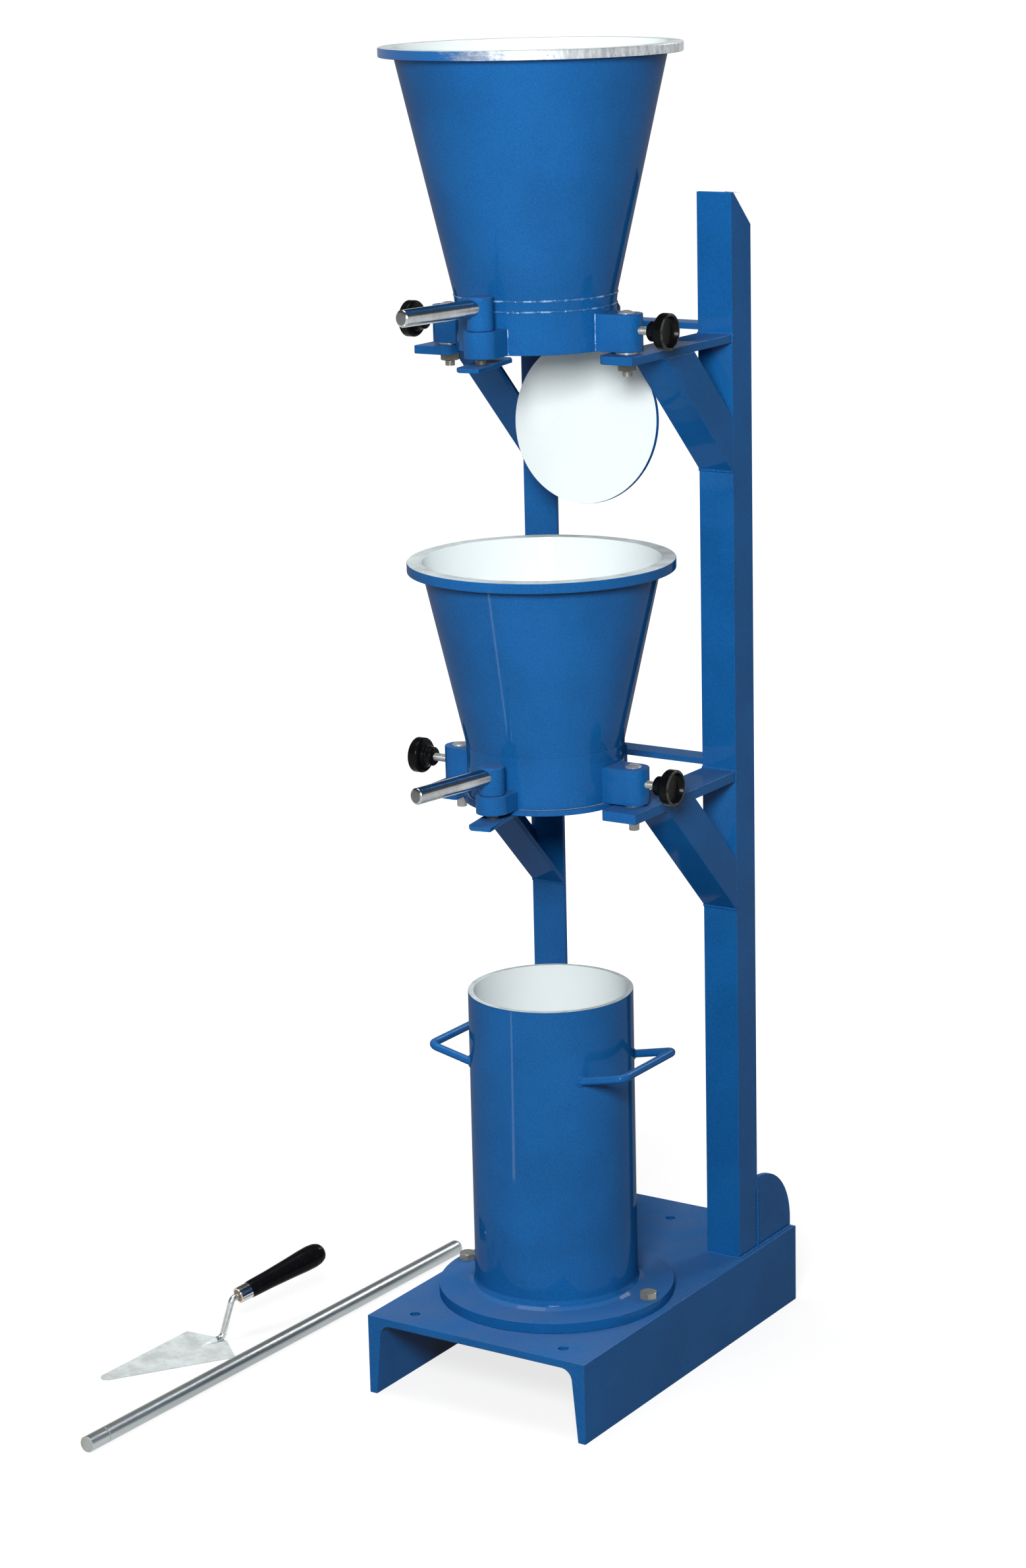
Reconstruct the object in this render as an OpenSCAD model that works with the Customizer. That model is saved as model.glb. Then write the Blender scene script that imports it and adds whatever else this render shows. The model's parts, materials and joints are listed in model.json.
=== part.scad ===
// Compaction factor apparatus: two conical hoppers with trapdoors above an
// open cylinder on a welded steel stand, with a tamping rod and a trowel.
// Origin on the floor under the hoppers' common axis, +Z up, the front at -Y,
// +X to the right seen from the front.

/* [Base] */
// Width of the base channel across its flanges
base_w = 252; // [248:1:280]
// Height of the base channel
base_h = 82; // [60:1:110]
// How far the base runs ahead of the hoppers' axis
base_front = 152; // [145:1:200]
// How far the base runs behind the hoppers' axis
base_rear = 270; // [262:1:320]
// Thickness of the base channel's web
web_t = 8; // [6:0.5:12]
// Thickness of a flange at its toe
toe_t = 8.5; // [6:0.5:12]
// Thickness of a flange at the web
flange_root_t = 15.5; // [13:0.5:18]
// Radius of the three fixing holes in the base
fix_hole_r = 5; // [3:0.5:7]
// Distance of the two front fixing holes from the sides of the base
fix_hole_side = 39.5; // [34:0.5:50]
// Distance of the two front fixing holes from the front of the base
fix_hole_front = 26; // [15:1:40]
// Distance of the rear fixing hole from the rear of the base
fix_hole_rear = 45; // [20:1:60]

/* [Posts and arms] */
// Leg width of the steel angle used for posts and braces
leg_w = 38; // [36:1:40]
// Thickness of the steel angle
leg_t = 5; // [3:0.5:7]
// Distance from the hoppers' axis back to the posts' front faces
post_y = 159; // [150:1:170]
// How far the posts stand in from the sides of the base
post_inset = 5; // [2:1:6]
// Height of the posts above the upper arms
post_over_arm = 135; // [80:1:160]
// Reach of the upper arms ahead of the hoppers' axis
upper_reach = 28; // [24:1:40]
// Reach of the lower arms ahead of the hoppers' axis
lower_reach = 34; // [24:1:40]
// Thickness of the upper arms
upper_arm_t = 8; // [6:0.5:12]
// Thickness of the lower arms
lower_arm_t = 10; // [6:0.5:12]
// Depth of the bars that join the posts, front to back
bar_w = 25; // [20:1:32]
// Thickness of the bars that join the posts
bar_t = 6; // [4:0.5:8]
// How far the upper braces run down the posts and out along the arms
upper_brace_run = 125; // [80:1:140]
// How far the lower braces run down the posts and out along the arms
lower_brace_run = 132; // [80:1:140]
// Gap between the lower trapdoor and the arms beside it
arm_gap = 3; // [2:0.5:4]

/* [Cylinder] */
// Inside diameter of the cylinder
cyl_bore = 152; // [150:1:154]
// Height of the cylinder above its flange
cyl_h = 305; // [280:1:320]
// Wall thickness of the cylinder
cyl_t = 5.5; // [3:0.5:6]
// Diameter of the cylinder's round flange
cyl_flange_d = 236; // [232:1:244]
// Thickness of the cylinder's flange
cyl_flange_t = 11; // [8:0.5:14]
// Spacing of the two hold-down bolts
bolt_span = 214; // [206:1:216]
// Radius of the handles' round bar
handle_r = 4; // [3:0.5:5]
// Height of the handles' feet below the cylinder's rim
handle_drop = 72; // [50:1:100]
// How far the handles' grips stand out from the cylinder
grip_out = 30; // [25:1:45]
// Width of the weld round the cylinder's foot
foot_weld = 6; // [3:0.5:8]

/* [Hoppers] */
// Height of the lower hopper's mouth above the cylinder's rim
lower_gap = 200; // [190:1:205]
// Inside height of the lower hopper
lower_h = 229; // [220:1:235]
// Inside diameter at the top of the lower hopper
lower_top_d = 229; // [220:1:235]
// Height of the upper hopper's mouth above the lower hopper's rim
upper_gap = 203; // [200:1:220]
// Inside height of the upper hopper
upper_h = 279; // [270:1:290]
// Inside diameter at the top of the upper hopper
upper_top_d = 254; // [245:1:260]
// Inside diameter of both hoppers' mouths
mouth_d = 127; // [122:1:128]
// Thickness of the hoppers' sheet, measured level
sheet_t = 2; // [1.5:0.5:2.5]
// Diameter of the collar round each mouth
collar_d = 152; // [149:1:154]
// Height of the collar round each mouth, below its weld
collar_h = 40; // [37:1:42]
// Width of the rim rings beyond the sheet
rim_w = 12.5; // [8:0.5:16]
// Thickness of the upper hopper's rim ring
upper_rim_t = 9; // [6:0.5:12]
// Thickness of the lower hopper's rim ring
lower_rim_t = 10; // [6:0.5:12]

/* [Doors and latches] */
// Thickness of the round trapdoors
door_t = 5; // [4:0.5:6]
// How far the upper trapdoor hangs open
door_hang = 83.1; // [0:0.1:90]
// Gap between a collar and the barrel of its door hinge
hinge_gap = 4; // [2.5:0.5:8]
// Gap between a collar and the hub of its latch
latch_gap = 6.5; // [5.5:0.5:11.5]
// Radius of the latch levers
lever_r = 8; // [5:0.5:8]
// Length of the latch levers from the shaft's axis
lever_len = 104; // [70:1:120]
// Angle of the levers to the left of straight ahead
lever_turn = 10; // [0:1:20]
// Angle of the latch plates to the left of straight back
plate_turn = 10; // [0:1:10]

/* [Thumb screws] */
// Radius of the knobs' rims
knob_r = 17.5; // [14:0.5:20]
// How far the lower left screw stands backed off from its pin
backed_off = 5; // [0:0.5:6]

/* [Rod and trowel] */
// Length of the tamping rod
rod_len = 610; // [590:5:620]
// Radius of the tamping rod
rod_r = 8; // [7:0.5:10]
// Length of the trowel's blade
blade_len = 150; // [120:1:170]
// Width of the trowel's blade
blade_w = 89; // [70:1:100]

/* [Hidden] */
$fn = 72;
eps = 0.01;
// Clearances: rest is the gap a piece that comes away keeps above its seat,
// slide is a pin in its hole and run is a shaft that turns in its hole.
rest = 0.3;
slide = 0.1;
run = 0.08;

collar_r = collar_d / 2;
mouth_r = mouth_d / 2;
// The doors are this much larger than the collars that they shut.
door_lap = 4;
door_r = collar_r + door_lap;
post_out = base_w / 2 - post_inset;
post_in = post_out - leg_w;
arm_in = door_r + arm_gap;
post_back = post_y + leg_w;
web_z = base_h - web_t;
cyl_r = cyl_bore / 2 + cyl_t;
cyl_z = base_h + cyl_flange_t;
cyl_top = cyl_z + cyl_h;
lower_z = cyl_top + lower_gap;
upper_z = lower_z + lower_h + upper_gap;
// The lugs stand this far above the arms, on the shoulders of the seat pins.
seat_gap = 2;
lower_arm_z = lower_z - seat_gap;
upper_arm_z = upper_z - seat_gap;
post_top = upper_arm_z + post_over_arm;
bar_gap = 3;
upper_arm_round = 9;
lower_arm_round = 3;
// The band of weld between a collar and its sheet, and the least it stands out.
weld_h = 10;
weld_top = 0.4;
weld_lip = 1.3;
// The seat pins stand a little in from the middle of the arms.
pin_inset = 3;
pin_x = (post_out + arm_in) / 2 - pin_inset;
pin_r = 8;
pin_dome = 2.5;
pin_over = 3;
shank_r = 5;
shoulder_r = 11;
upper_stud = 13.5;
lower_stud = 15;
boss_r = 9;
boss_h = 4;
nut_flats = 17;
nut_h = 8;
lug_r = 15.5;
// The welded pieces run in this far before the collar cuts them.
lug_root = 15;
lug_h = 35;
screw_z = 19.5;
screw_r = 4;
// The screws reach this far into their knobs.
screw_in = 6;
screw_tip = pin_x + pin_r + rest;
knob_x = pin_x + lug_r + 10;
hub_r = 12.5;
shaft_r = 5.5;
shaft_in = 9;
latch_y = collar_r + hub_r + latch_gap;
latch_lug_r = 16;
// Height of a latch lug, height of its hub and height of the lever in the hub.
upper_latch = [25, 31, 21];
lower_latch = [18, 27, 18];
plate_w = 25;
plate_t = 4;
plate_in = 52;
plate_out = 36;
plate_z = -rest - door_t - rest - plate_t;
// The levers start this far past the shafts' axes.
lever_in = 3;
lever_bevel = 1.8;
hinge_z = 6;
hinge_r = 5;
barrel_r = 8;
hinge_y = collar_r + barrel_r + hinge_gap;
strap_y = 40;
ear_r = 9;
ear_in = 26;
ear_t = 8;
ear_rise = 22;
ear_gap = 0.5;
pin_over_ear = 2;
gusset_in = 7;
gusset_step = 4;
gusset_lift = 10;
gusset_r = base_rear - post_back - gusset_in;
hex_flats = 16;
hex_h = 7;
hole_play = 0.5;
// A handle's grip, the rise of its legs, counted from inside the wall, its
// bends and how far the legs run in before the wall cuts them.
grip_x = cyl_r + grip_out;
grip_y = 49;
grip_rise = 10;
leg_root = 16;
leg_sunk = 22;
handle_bend = 8;
// The rod's near end, its turn to the right and the groove near that end.
rod_at = [-281, -405];
rod_turn = 2.26;
groove_at = 25;
groove_w = 1.2;
groove_depth = 0.5;
// The trowel's heel and its turn to the right.
trowel_at = [-331.5, -119.6];
trowel_turn = 18.5;
blade_t = 1.5;
tip_r = 7;
heel_y = 18;
heel_half = 7;
tang_r = 3.4;
tang_bend = 7;
// The tang: along the blade, up with a forward lean, then along the handle.
tang_foot = 3;
tang_turn = 70;
tang_rise = 33;
handle_turn = 59;
handle_rise = tang_turn - handle_turn;
tang_end = 14;
tang_start = [-12, tang_r + 0.2];
// Where the tang has turned up, and where it has turned along the handle.
tang_low = tang_start + [tang_foot + tang_bend * sin(tang_turn), tang_bend * (1 - cos(tang_turn))];
tang_knee = tang_low + tang_rise * [cos(tang_turn), sin(tang_turn)];
tang_high = tang_knee + tang_bend * [
  sin(tang_turn) - sin(handle_rise), cos(handle_rise) - cos(tang_turn)
];
// The ferrule, placed along the handle's axis, and the handle's seat in it.
ferrule_at = 4;
ferrule_r = 8.5;
ferrule_h = 14;
ferrule_wall = 1;
ferrule_floor = 2;
handle_at = ferrule_at + ferrule_floor;

// Paint and metal colours
blue = [0.09, 0.33, 0.62];
white = [0.93, 0.97, 0.97];
bare = [0.74, 0.76, 0.76];
bright = [0.8, 0.81, 0.82];
black = [0.05, 0.05, 0.05];
dull = [0.55, 0.54, 0.5];

// The base is a rolled channel with its web on top and its flanges down.
function flange_in(z) = base_w / 2 - toe_t - (flange_root_t - toe_t) * z / web_z;

module channel_hollow() {
  root_r = 12;
  lean = atan((flange_root_t - toe_t) / web_z);
  cz = web_z - root_r;
  cx = flange_in(cz) - root_r / cos(lean);
  for (s = [-1, 1])
    translate([s * cx, cz])
      circle(r = root_r);
  polygon([
    [-flange_in(-1), -1],
    [flange_in(-1), -1],
    [cx + root_r * cos(lean), cz + root_r * sin(lean)],
    [cx, cz],
    [cx, web_z],
    [-cx, web_z],
    [-cx, cz],
    [-cx - root_r * cos(lean), cz + root_r * sin(lean)]
  ]);
}

module base_channel() {
  color(blue)
  difference() {
    translate([0, base_rear, 0])
      rotate([90, 0, 0])
        linear_extrude(base_front + base_rear)
          difference() {
            translate([-base_w / 2, 0])
              square([base_w, base_h]);
            channel_hollow();
          }
    for (x = [fix_hole_side - base_w / 2, base_w / 2 - fix_hole_side])
      translate([x, fix_hole_front - base_front, web_z - 1])
        cylinder(r = fix_hole_r, h = web_t + 2);
    translate([0, base_rear - fix_hole_rear, web_z - 1])
      cylinder(r = fix_hole_r, h = web_t + 2);
    for (x = [-bolt_span / 2, bolt_span / 2])
      translate([x, 0, web_z - 20])
        cylinder(r = shank_r + slide, h = web_t + 21);
  }
}

// Steel angle: one leg along X from 0, one along Y from 0, rounded in the root.
module angle_section() {
  difference() {
    square(leg_w);
    translate([2 * leg_t, 2 * leg_t])
      circle(r = leg_t);
    translate([leg_t, 2 * leg_t])
      square([leg_w, leg_w]);
    translate([2 * leg_t, leg_t])
      square([leg_w, leg_w]);
  }
}

// The right post: its corner is at the front on the outer side.
module post() {
  difference() {
    translate([post_out, post_y, base_h])
      mirror([1, 0, 0])
        linear_extrude(post_top - base_h)
          angle_section();
    translate([post_in - 1, post_y + leg_t, post_top])
      rotate([-45, 0, 0])
        cube([leg_w + 2, 2 * leg_w, leg_w]);
  }
}

module post_left() {
  color(blue)
    mirror([1, 0, 0])
      post();
}

module post_right() {
  color(blue)
    post();
}

// Rounded plates behind the posts' feet.
module foot_gussets() {
  color(blue)
  for (s = [-1, 1])
    translate([s > 0 ? post_out - leg_t : -post_out, post_back, base_h])
      rotate([90, 0, 90])
        linear_extrude(leg_t)
          union() {
            square([gusset_step, gusset_lift + gusset_r]);
            square([gusset_step + gusset_r, gusset_lift]);
            translate([gusset_step, gusset_lift])
              intersection() {
                circle(r = gusset_r);
                square(gusset_r);
              }
          }
}

// A flat arm from the post forward, its inner front corner rounded.
module arm(reach, thick, top, round_r) {
  difference() {
    translate([0, 0, top - thick])
      linear_extrude(thick)
        union() {
          translate([arm_in, -reach + round_r])
            square([post_out - arm_in, post_y + reach - round_r]);
          translate([arm_in + round_r, -reach])
            square([post_out - arm_in - round_r, round_r]);
          translate([arm_in + round_r, -reach + round_r])
            circle(r = round_r);
        }
    translate([pin_x, 0, top - thick - 1])
      cylinder(r = shank_r + slide, h = thick + 2);
  }
}

module upper_arm_left() {
  color(blue)
    mirror([1, 0, 0])
      arm(upper_reach, upper_arm_t, upper_arm_z, upper_arm_round);
}

module upper_arm_right() {
  color(blue)
    arm(upper_reach, upper_arm_t, upper_arm_z, upper_arm_round);
}

module lower_arm_left() {
  color(blue)
    mirror([1, 0, 0])
      arm(lower_reach, lower_arm_t, lower_arm_z, lower_arm_round);
}

module lower_arm_right() {
  color(blue)
    arm(lower_reach, lower_arm_t, lower_arm_z, lower_arm_round);
}

// A brace of steel angle at 45 degrees: one leg faces forward and down, the
// other stands on the outer side. Its ends are cut to the arm and the post.
module brace(run_y, top) {
  intersection() {
    translate([post_out, post_y - run_y, top])
      rotate([45, 0, 0])
        mirror([1, 0, 0])
          translate([0, 0, -1.5 * run_y - leg_w])
            linear_extrude(1.5 * run_y + 2 * leg_w)
              angle_section();
    translate([0, post_y - run_y - 5, top - run_y - 5])
      cube([post_out + 5, run_y + 5, run_y + 5]);
  }
}

module upper_brace_left() {
  color(blue)
    mirror([1, 0, 0])
      brace(upper_brace_run, upper_arm_z - upper_arm_t);
}

module upper_brace_right() {
  color(blue)
    brace(upper_brace_run, upper_arm_z - upper_arm_t);
}

module lower_brace_left() {
  color(blue)
    mirror([1, 0, 0])
      brace(lower_brace_run, lower_arm_z - lower_arm_t);
}

module lower_brace_right() {
  color(blue)
    brace(lower_brace_run, lower_arm_z - lower_arm_t);
}

// Flat bars between the posts' front legs, just above each pair of arms.
module cross_bars() {
  color(blue)
  for (z = [lower_arm_z, upper_arm_z])
    translate([-post_in, post_y, z + bar_gap])
      cube([2 * post_in, bar_w, bar_t]);
}

// A seat pin: a domed spigot for the lug, a shoulder that the lug rests on
// and a shank through the arm.
module seat_pin(arm_top, arm_thick, below) {
  dome_ball = (pin_r * pin_r + pin_dome * pin_dome) / (2 * pin_dome);
  translate([0, 0, arm_top])
    union() {
      translate([0, 0, -arm_thick - below])
        cylinder(r = shank_r, h = arm_thick + below + eps);
      cylinder(r = shoulder_r, h = seat_gap - rest);
      intersection() {
        cylinder(r = pin_r, h = seat_gap + lug_h + 10);
        translate([0, 0, seat_gap + lug_h + pin_over - dome_ball])
          sphere(r = dome_ball);
      }
      cylinder(r = pin_r, h = lug_h);
    }
}

module upper_seat_pins() {
  color(bright)
  for (s = [-1, 1])
    translate([s * pin_x, 0, 0])
      seat_pin(upper_arm_z, upper_arm_t, upper_stud);
}

// Hexagon nuts under the upper arms.
module upper_pin_nuts() {
  color(dull)
  for (s = [-1, 1])
    translate([s * pin_x, 0, upper_arm_z - upper_arm_t - nut_h])
      difference() {
        cylinder(r = nut_flats / 2 / cos(30), h = nut_h, $fn = 6);
        translate([0, 0, -1])
          cylinder(r = shank_r, h = nut_h + 2);
      }
}

// The lower pins are welded in: a round boss under the arm and a plain end.
module lower_seat_pins() {
  color(bright)
  for (s = [-1, 1])
    translate([s * pin_x, 0, 0])
      union() {
        seat_pin(lower_arm_z, lower_arm_t, lower_stud);
        translate([0, 0, lower_arm_z - lower_arm_t - boss_h])
          cylinder(r = boss_r, h = boss_h);
      }
}

// The tube with the weld round its foot.
module cylinder_tube() {
  color(blue)
    translate([0, 0, cyl_z])
      rotate_extrude()
        polygon([
          [cyl_bore / 2, 0],
          [cyl_r + foot_weld, 0],
          [cyl_r + foot_weld / 4, foot_weld / 2],
          [cyl_r, foot_weld * 1.3],
          [cyl_r, cyl_h],
          [cyl_bore / 2, cyl_h]
        ]);
}

module cylinder_flange() {
  color(blue)
  difference() {
    translate([0, 0, base_h])
      cylinder(r = cyl_flange_d / 2, h = cyl_flange_t);
    for (x = [-bolt_span / 2, bolt_span / 2])
      translate([x, 0, base_h - 1])
        cylinder(r = shank_r + hole_play, h = cyl_flange_t + 2);
  }
}

// A round bar that starts along +Z and bends in the XZ plane. Each step is a
// straight length and the angle of the bend after it, towards +X. A straight
// is a hair thinner than the bends and laps into them.
module bent_bar(steps, r, bend, i = 0) {
  length = steps[i][0];
  turn = steps[i][1];
  side = turn < 0 ? -1 : 1;
  lap = 0.3;
  before = i > 0 ? lap : 0;
  after = i < len(steps) - 1 ? lap : 0;
  translate([0, 0, -before])
    cylinder(r = r - 0.02, h = before + length + after);
  if (i < len(steps) - 1)
    translate([0, 0, length])
      union() {
        rotate([0, 0, side < 0 ? 180 : 0])
          translate([bend, 0, 0])
            rotate([90, 0, 180])
              rotate_extrude(angle = side * turn)
                translate([bend, 0])
                  circle(r = r);
        translate([side * bend, 0, 0])
          rotate([0, turn, 0])
            translate([-side * bend, 0, 0])
              bent_bar(steps, r, bend, i + 1);
      }
}

// A handle of bent round bar: two legs that rise a little and a straight grip.
module handle() {
  slope = atan(grip_rise / (grip_out + leg_root));
  leg = (grip_out + leg_root + leg_sunk) / cos(slope) - handle_bend;
  grip = 2 * (grip_y - handle_bend);
  difference() {
    translate([grip_x, 0, cyl_top - handle_drop + grip_rise])
      rotate([0, -slope, 0])
        translate([-leg - handle_bend, grip_y, 0])
          rotate([0, 90, 0])
            rotate([0, 0, -90])
              bent_bar([[leg, 90], [grip, 90], [leg, 0]], handle_r, handle_bend);
    translate([0, 0, cyl_z - 1])
      cylinder(r = cyl_r, h = cyl_h + 2);
  }
}

module cylinder_handle_left() {
  color(blue)
    mirror([1, 0, 0])
      handle();
}

module cylinder_handle_right() {
  color(blue)
    handle();
}

module cylinder_bolts() {
  color(dull)
  for (x = [-bolt_span / 2, bolt_span / 2])
    translate([x, 0, 0])
      union() {
        translate([0, 0, web_z])
          cylinder(r = shank_r, h = web_t + cyl_flange_t + eps);
        translate([0, 0, cyl_z])
          cylinder(r = hex_flats / 2 / cos(30), h = hex_h, $fn = 6);
      }
}

// Outside radius of a hopper's sheet at a height above its mouth.
function cone_r(z, high, top_d) = mouth_r + sheet_t + (top_d / 2 - mouth_r) * z / high;

module cone(high, top_d) {
  rotate_extrude()
    polygon([
      [mouth_r, 0],
      [mouth_r + sheet_t, 0],
      [top_d / 2 + sheet_t, high],
      [top_d / 2, high]
    ]);
}

module rim(high, top_d, thick) {
  rotate_extrude()
    polygon([
      [cone_r(high - thick, high, top_d), high - thick],
      [top_d / 2 + sheet_t + rim_w, high - thick],
      [top_d / 2 + sheet_t + rim_w, high],
      [cone_r(high, high, top_d), high]
    ]);
}

// Outside radius at a collar's top: it widens if the sheet comes too near.
function collar_top_r(high, top_d) = max(collar_r, cone_r(collar_h, high, top_d) + weld_lip);

// Outline of a collar and its weld, from the foot up.
function collar_side(high, top_d) = [
  [collar_r, 0],
  [collar_top_r(high, top_d), collar_h],
  [cone_r(collar_h + weld_h, high, top_d) + weld_top, collar_h + weld_h],
  [cone_r(collar_h + weld_h, high, top_d), collar_h + weld_h]
];

module collar(high, top_d) {
  rotate_extrude()
    polygon(concat([[mouth_r + sheet_t, 0]], collar_side(high, top_d)));
}

// The outside of collar and sheet, to fit the welded pieces against.
module hopper_skin(high, top_d) {
  rotate_extrude()
    polygon(concat(
      [[0, -1], [collar_r, -1]],
      collar_side(high, top_d),
      [[cone_r(high, high, top_d), high], [0, high]]
    ));
}

// Side lugs: a bore for the seat pin and a tapped hole for the thumb screw.
module seat_lugs(high, top_d) {
  for (s = [0, 180])
    rotate([0, 0, s])
      difference() {
        linear_extrude(lug_h)
          union() {
            translate([collar_r - lug_root, -lug_r])
              square([pin_x - collar_r + lug_root, 2 * lug_r]);
            translate([pin_x, 0])
              circle(r = lug_r);
          }
        hopper_skin(high, top_d);
        translate([pin_x, 0, -1])
          cylinder(r = pin_r + slide, h = lug_h + 2);
        translate([pin_x, 0, screw_z])
          rotate([0, 90, 0])
            cylinder(r = screw_r + slide, h = lug_r + 1);
      }
}

module latch_lug(sizes, high, top_d) {
  difference() {
    linear_extrude(sizes[0])
      union() {
        translate([-latch_lug_r, -latch_y])
          square([2 * latch_lug_r, latch_y - collar_r + lug_root]);
        translate([0, -latch_y])
          circle(r = latch_lug_r);
      }
    hopper_skin(high, top_d);
    translate([0, -latch_y, -1])
      cylinder(r = shaft_r + run, h = sizes[0] + 2);
  }
}

module hinge_ears(high, top_d) {
  for (x = [-ear_in - ear_t, ear_in])
    difference() {
      translate([x, 0, 0])
        rotate([90, 0, 90])
          linear_extrude(ear_t)
            difference() {
              union() {
                polygon([
                  [collar_r - lug_root, 1],
                  [hinge_y, 1],
                  [hinge_y + ear_r, hinge_z],
                  [hinge_y + ear_r, hinge_z + ear_rise],
                  [collar_r, collar_h + weld_h],
                  [collar_r - lug_root, collar_h + weld_h]
                ]);
                translate([hinge_y, hinge_z])
                  circle(r = ear_r);
              }
              translate([hinge_y, hinge_z])
                circle(r = hinge_r);
            }
      hopper_skin(high, top_d);
    }
}

module hinge_pin() {
  half = ear_in + ear_t + pin_over_ear;
  translate([-half, hinge_y, hinge_z])
    rotate([0, 90, 0])
      cylinder(r = hinge_r, h = 2 * half);
}

module trapdoor() {
  translate([0, 0, -rest - door_t])
    cylinder(r = door_r, h = door_t);
}

// The strap under the door and the barrel that turns on the hinge pin.
module door_strap() {
  half = ear_in - ear_gap;
  low = -rest - door_t;
  translate([-half, 0, 0])
    rotate([90, 0, 90])
      linear_extrude(2 * half)
        difference() {
          union() {
            translate([strap_y, low - door_t])
              square([hinge_y + barrel_r - 1 - strap_y, door_t]);
            translate([hinge_y - barrel_r + 1, low - door_t])
              square([2 * barrel_r - 2, hinge_z - low + door_t]);
            translate([hinge_y, hinge_z])
              circle(r = barrel_r);
          }
          translate([hinge_y, hinge_z])
            circle(r = hinge_r + run);
        }
}

// A door or its strap, hanging open with its weight under the hinge pin.
module hanging() {
  translate([0, hinge_y, hinge_z])
    rotate([door_hang, 0, 0])
      translate([0, -hinge_y, -hinge_z])
        children();
}

module latch_shaft(sizes) {
  translate([0, -latch_y, plate_z + plate_t])
    cylinder(r = shaft_r, h = sizes[0] + shaft_in - plate_z - plate_t);
}

module latch_hub(sizes) {
  translate([0, -latch_y, sizes[0] + rest])
    difference() {
      cylinder(r = hub_r, h = sizes[1]);
      translate([0, 0, -1])
        cylinder(r = shaft_r, h = shaft_in + 1 - rest);
      translate([0, 0, sizes[2]])
        rotate([90, 0, -lever_turn])
          translate([0, 0, lever_in])
            cylinder(r = lever_r, h = hub_r + 2);
    }
}

module latch_lever(sizes) {
  translate([0, -latch_y, sizes[0] + rest + sizes[2]])
    rotate([90, 0, -lever_turn])
      union() {
        translate([0, 0, lever_in])
          cylinder(r = lever_r, h = lever_len - lever_in - lever_bevel);
        translate([0, 0, lever_len - lever_bevel])
          cylinder(r1 = lever_r, r2 = lever_r - lever_bevel, h = lever_bevel);
      }
}

// The plate that reaches in under the door's front edge.
module latch_plate() {
  translate([0, -latch_y, plate_z])
    rotate([0, 0, plate_turn])
      linear_extrude(plate_t)
        polygon([
          [-plate_w / 2, -plate_out + 7],
          [-plate_w / 2 + 5, -plate_out],
          [plate_w / 2, -plate_out],
          [plate_w / 2, plate_in - 9],
          [plate_w / 2 - 5, plate_in],
          [-plate_w / 2 + 8, plate_in],
          [-plate_w / 2, plate_in - 9]
        ]);
}

// Thumb screw on the right, its tip just short of the seat pin.
module thumb_screw() {
  translate([screw_tip, 0, screw_z])
    rotate([0, 90, 0])
      cylinder(r = screw_r, h = knob_x + screw_in - screw_tip);
}

// The knob: a stepped shank and a dished mushroom head.
module knob() {
  translate([knob_x, 0, screw_z])
    rotate([0, 90, 0])
      difference() {
        rotate_extrude()
          polygon([
            [0, 0],
            [8, 0],
            [9.5, 1.5],
            [9.5, 7],
            [11.5, 8.5],
            [11.5, 10],
            [knob_r - 2, 11],
            [knob_r, 13],
            [knob_r, 21],
            [knob_r - 1, 22],
            [knob_r - 2.5, 22],
            [knob_r - 5, 17],
            [0, 16]
          ]);
        translate([0, 0, -1])
          cylinder(r = screw_r, h = screw_in + 1);
      }
}

module upper_cone() {
  color(blue)
    translate([0, 0, upper_z])
      cone(upper_h, upper_top_d);
}

module upper_rim() {
  color(bare)
    translate([0, 0, upper_z])
      rim(upper_h, upper_top_d, upper_rim_t);
}

module upper_collar() {
  color(blue)
    translate([0, 0, upper_z])
      collar(upper_h, upper_top_d);
}

module upper_seat_lugs() {
  color(blue)
    translate([0, 0, upper_z])
      seat_lugs(upper_h, upper_top_d);
}

module upper_latch_lug() {
  color(blue)
    translate([0, 0, upper_z])
      latch_lug(upper_latch, upper_h, upper_top_d);
}

module upper_hinge_ears() {
  color(blue)
    translate([0, 0, upper_z])
      hinge_ears(upper_h, upper_top_d);
}

module upper_hinge_pin() {
  color(dull)
    translate([0, 0, upper_z])
      hinge_pin();
}

module upper_trapdoor() {
  color(white)
    translate([0, 0, upper_z])
      hanging()
        trapdoor();
}

module upper_door_strap() {
  color(blue)
    translate([0, 0, upper_z])
      hanging()
        door_strap();
}

module upper_latch_shaft() {
  color(dull)
    translate([0, 0, upper_z])
      latch_shaft(upper_latch);
}

module upper_latch_hub() {
  color(blue)
    translate([0, 0, upper_z])
      latch_hub(upper_latch);
}

module upper_latch_lever() {
  color(bright)
    translate([0, 0, upper_z])
      latch_lever(upper_latch);
}

module upper_latch_plate() {
  color(blue)
    translate([0, 0, upper_z])
      latch_plate();
}

module upper_left_screw() {
  color(dull)
    translate([0, 0, upper_z])
      mirror([1, 0, 0])
        thumb_screw();
}

module upper_left_knob() {
  color(black)
    translate([0, 0, upper_z])
      mirror([1, 0, 0])
        knob();
}

module upper_right_screw() {
  color(dull)
    translate([0, 0, upper_z])
      thumb_screw();
}

module upper_right_knob() {
  color(black)
    translate([0, 0, upper_z])
      knob();
}

module lower_cone() {
  color(blue)
    translate([0, 0, lower_z])
      cone(lower_h, lower_top_d);
}

module lower_rim() {
  color(bare)
    translate([0, 0, lower_z])
      rim(lower_h, lower_top_d, lower_rim_t);
}

module lower_collar() {
  color(blue)
    translate([0, 0, lower_z])
      collar(lower_h, lower_top_d);
}

module lower_seat_lugs() {
  color(blue)
    translate([0, 0, lower_z])
      seat_lugs(lower_h, lower_top_d);
}

module lower_latch_lug() {
  color(blue)
    translate([0, 0, lower_z])
      latch_lug(lower_latch, lower_h, lower_top_d);
}

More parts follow.
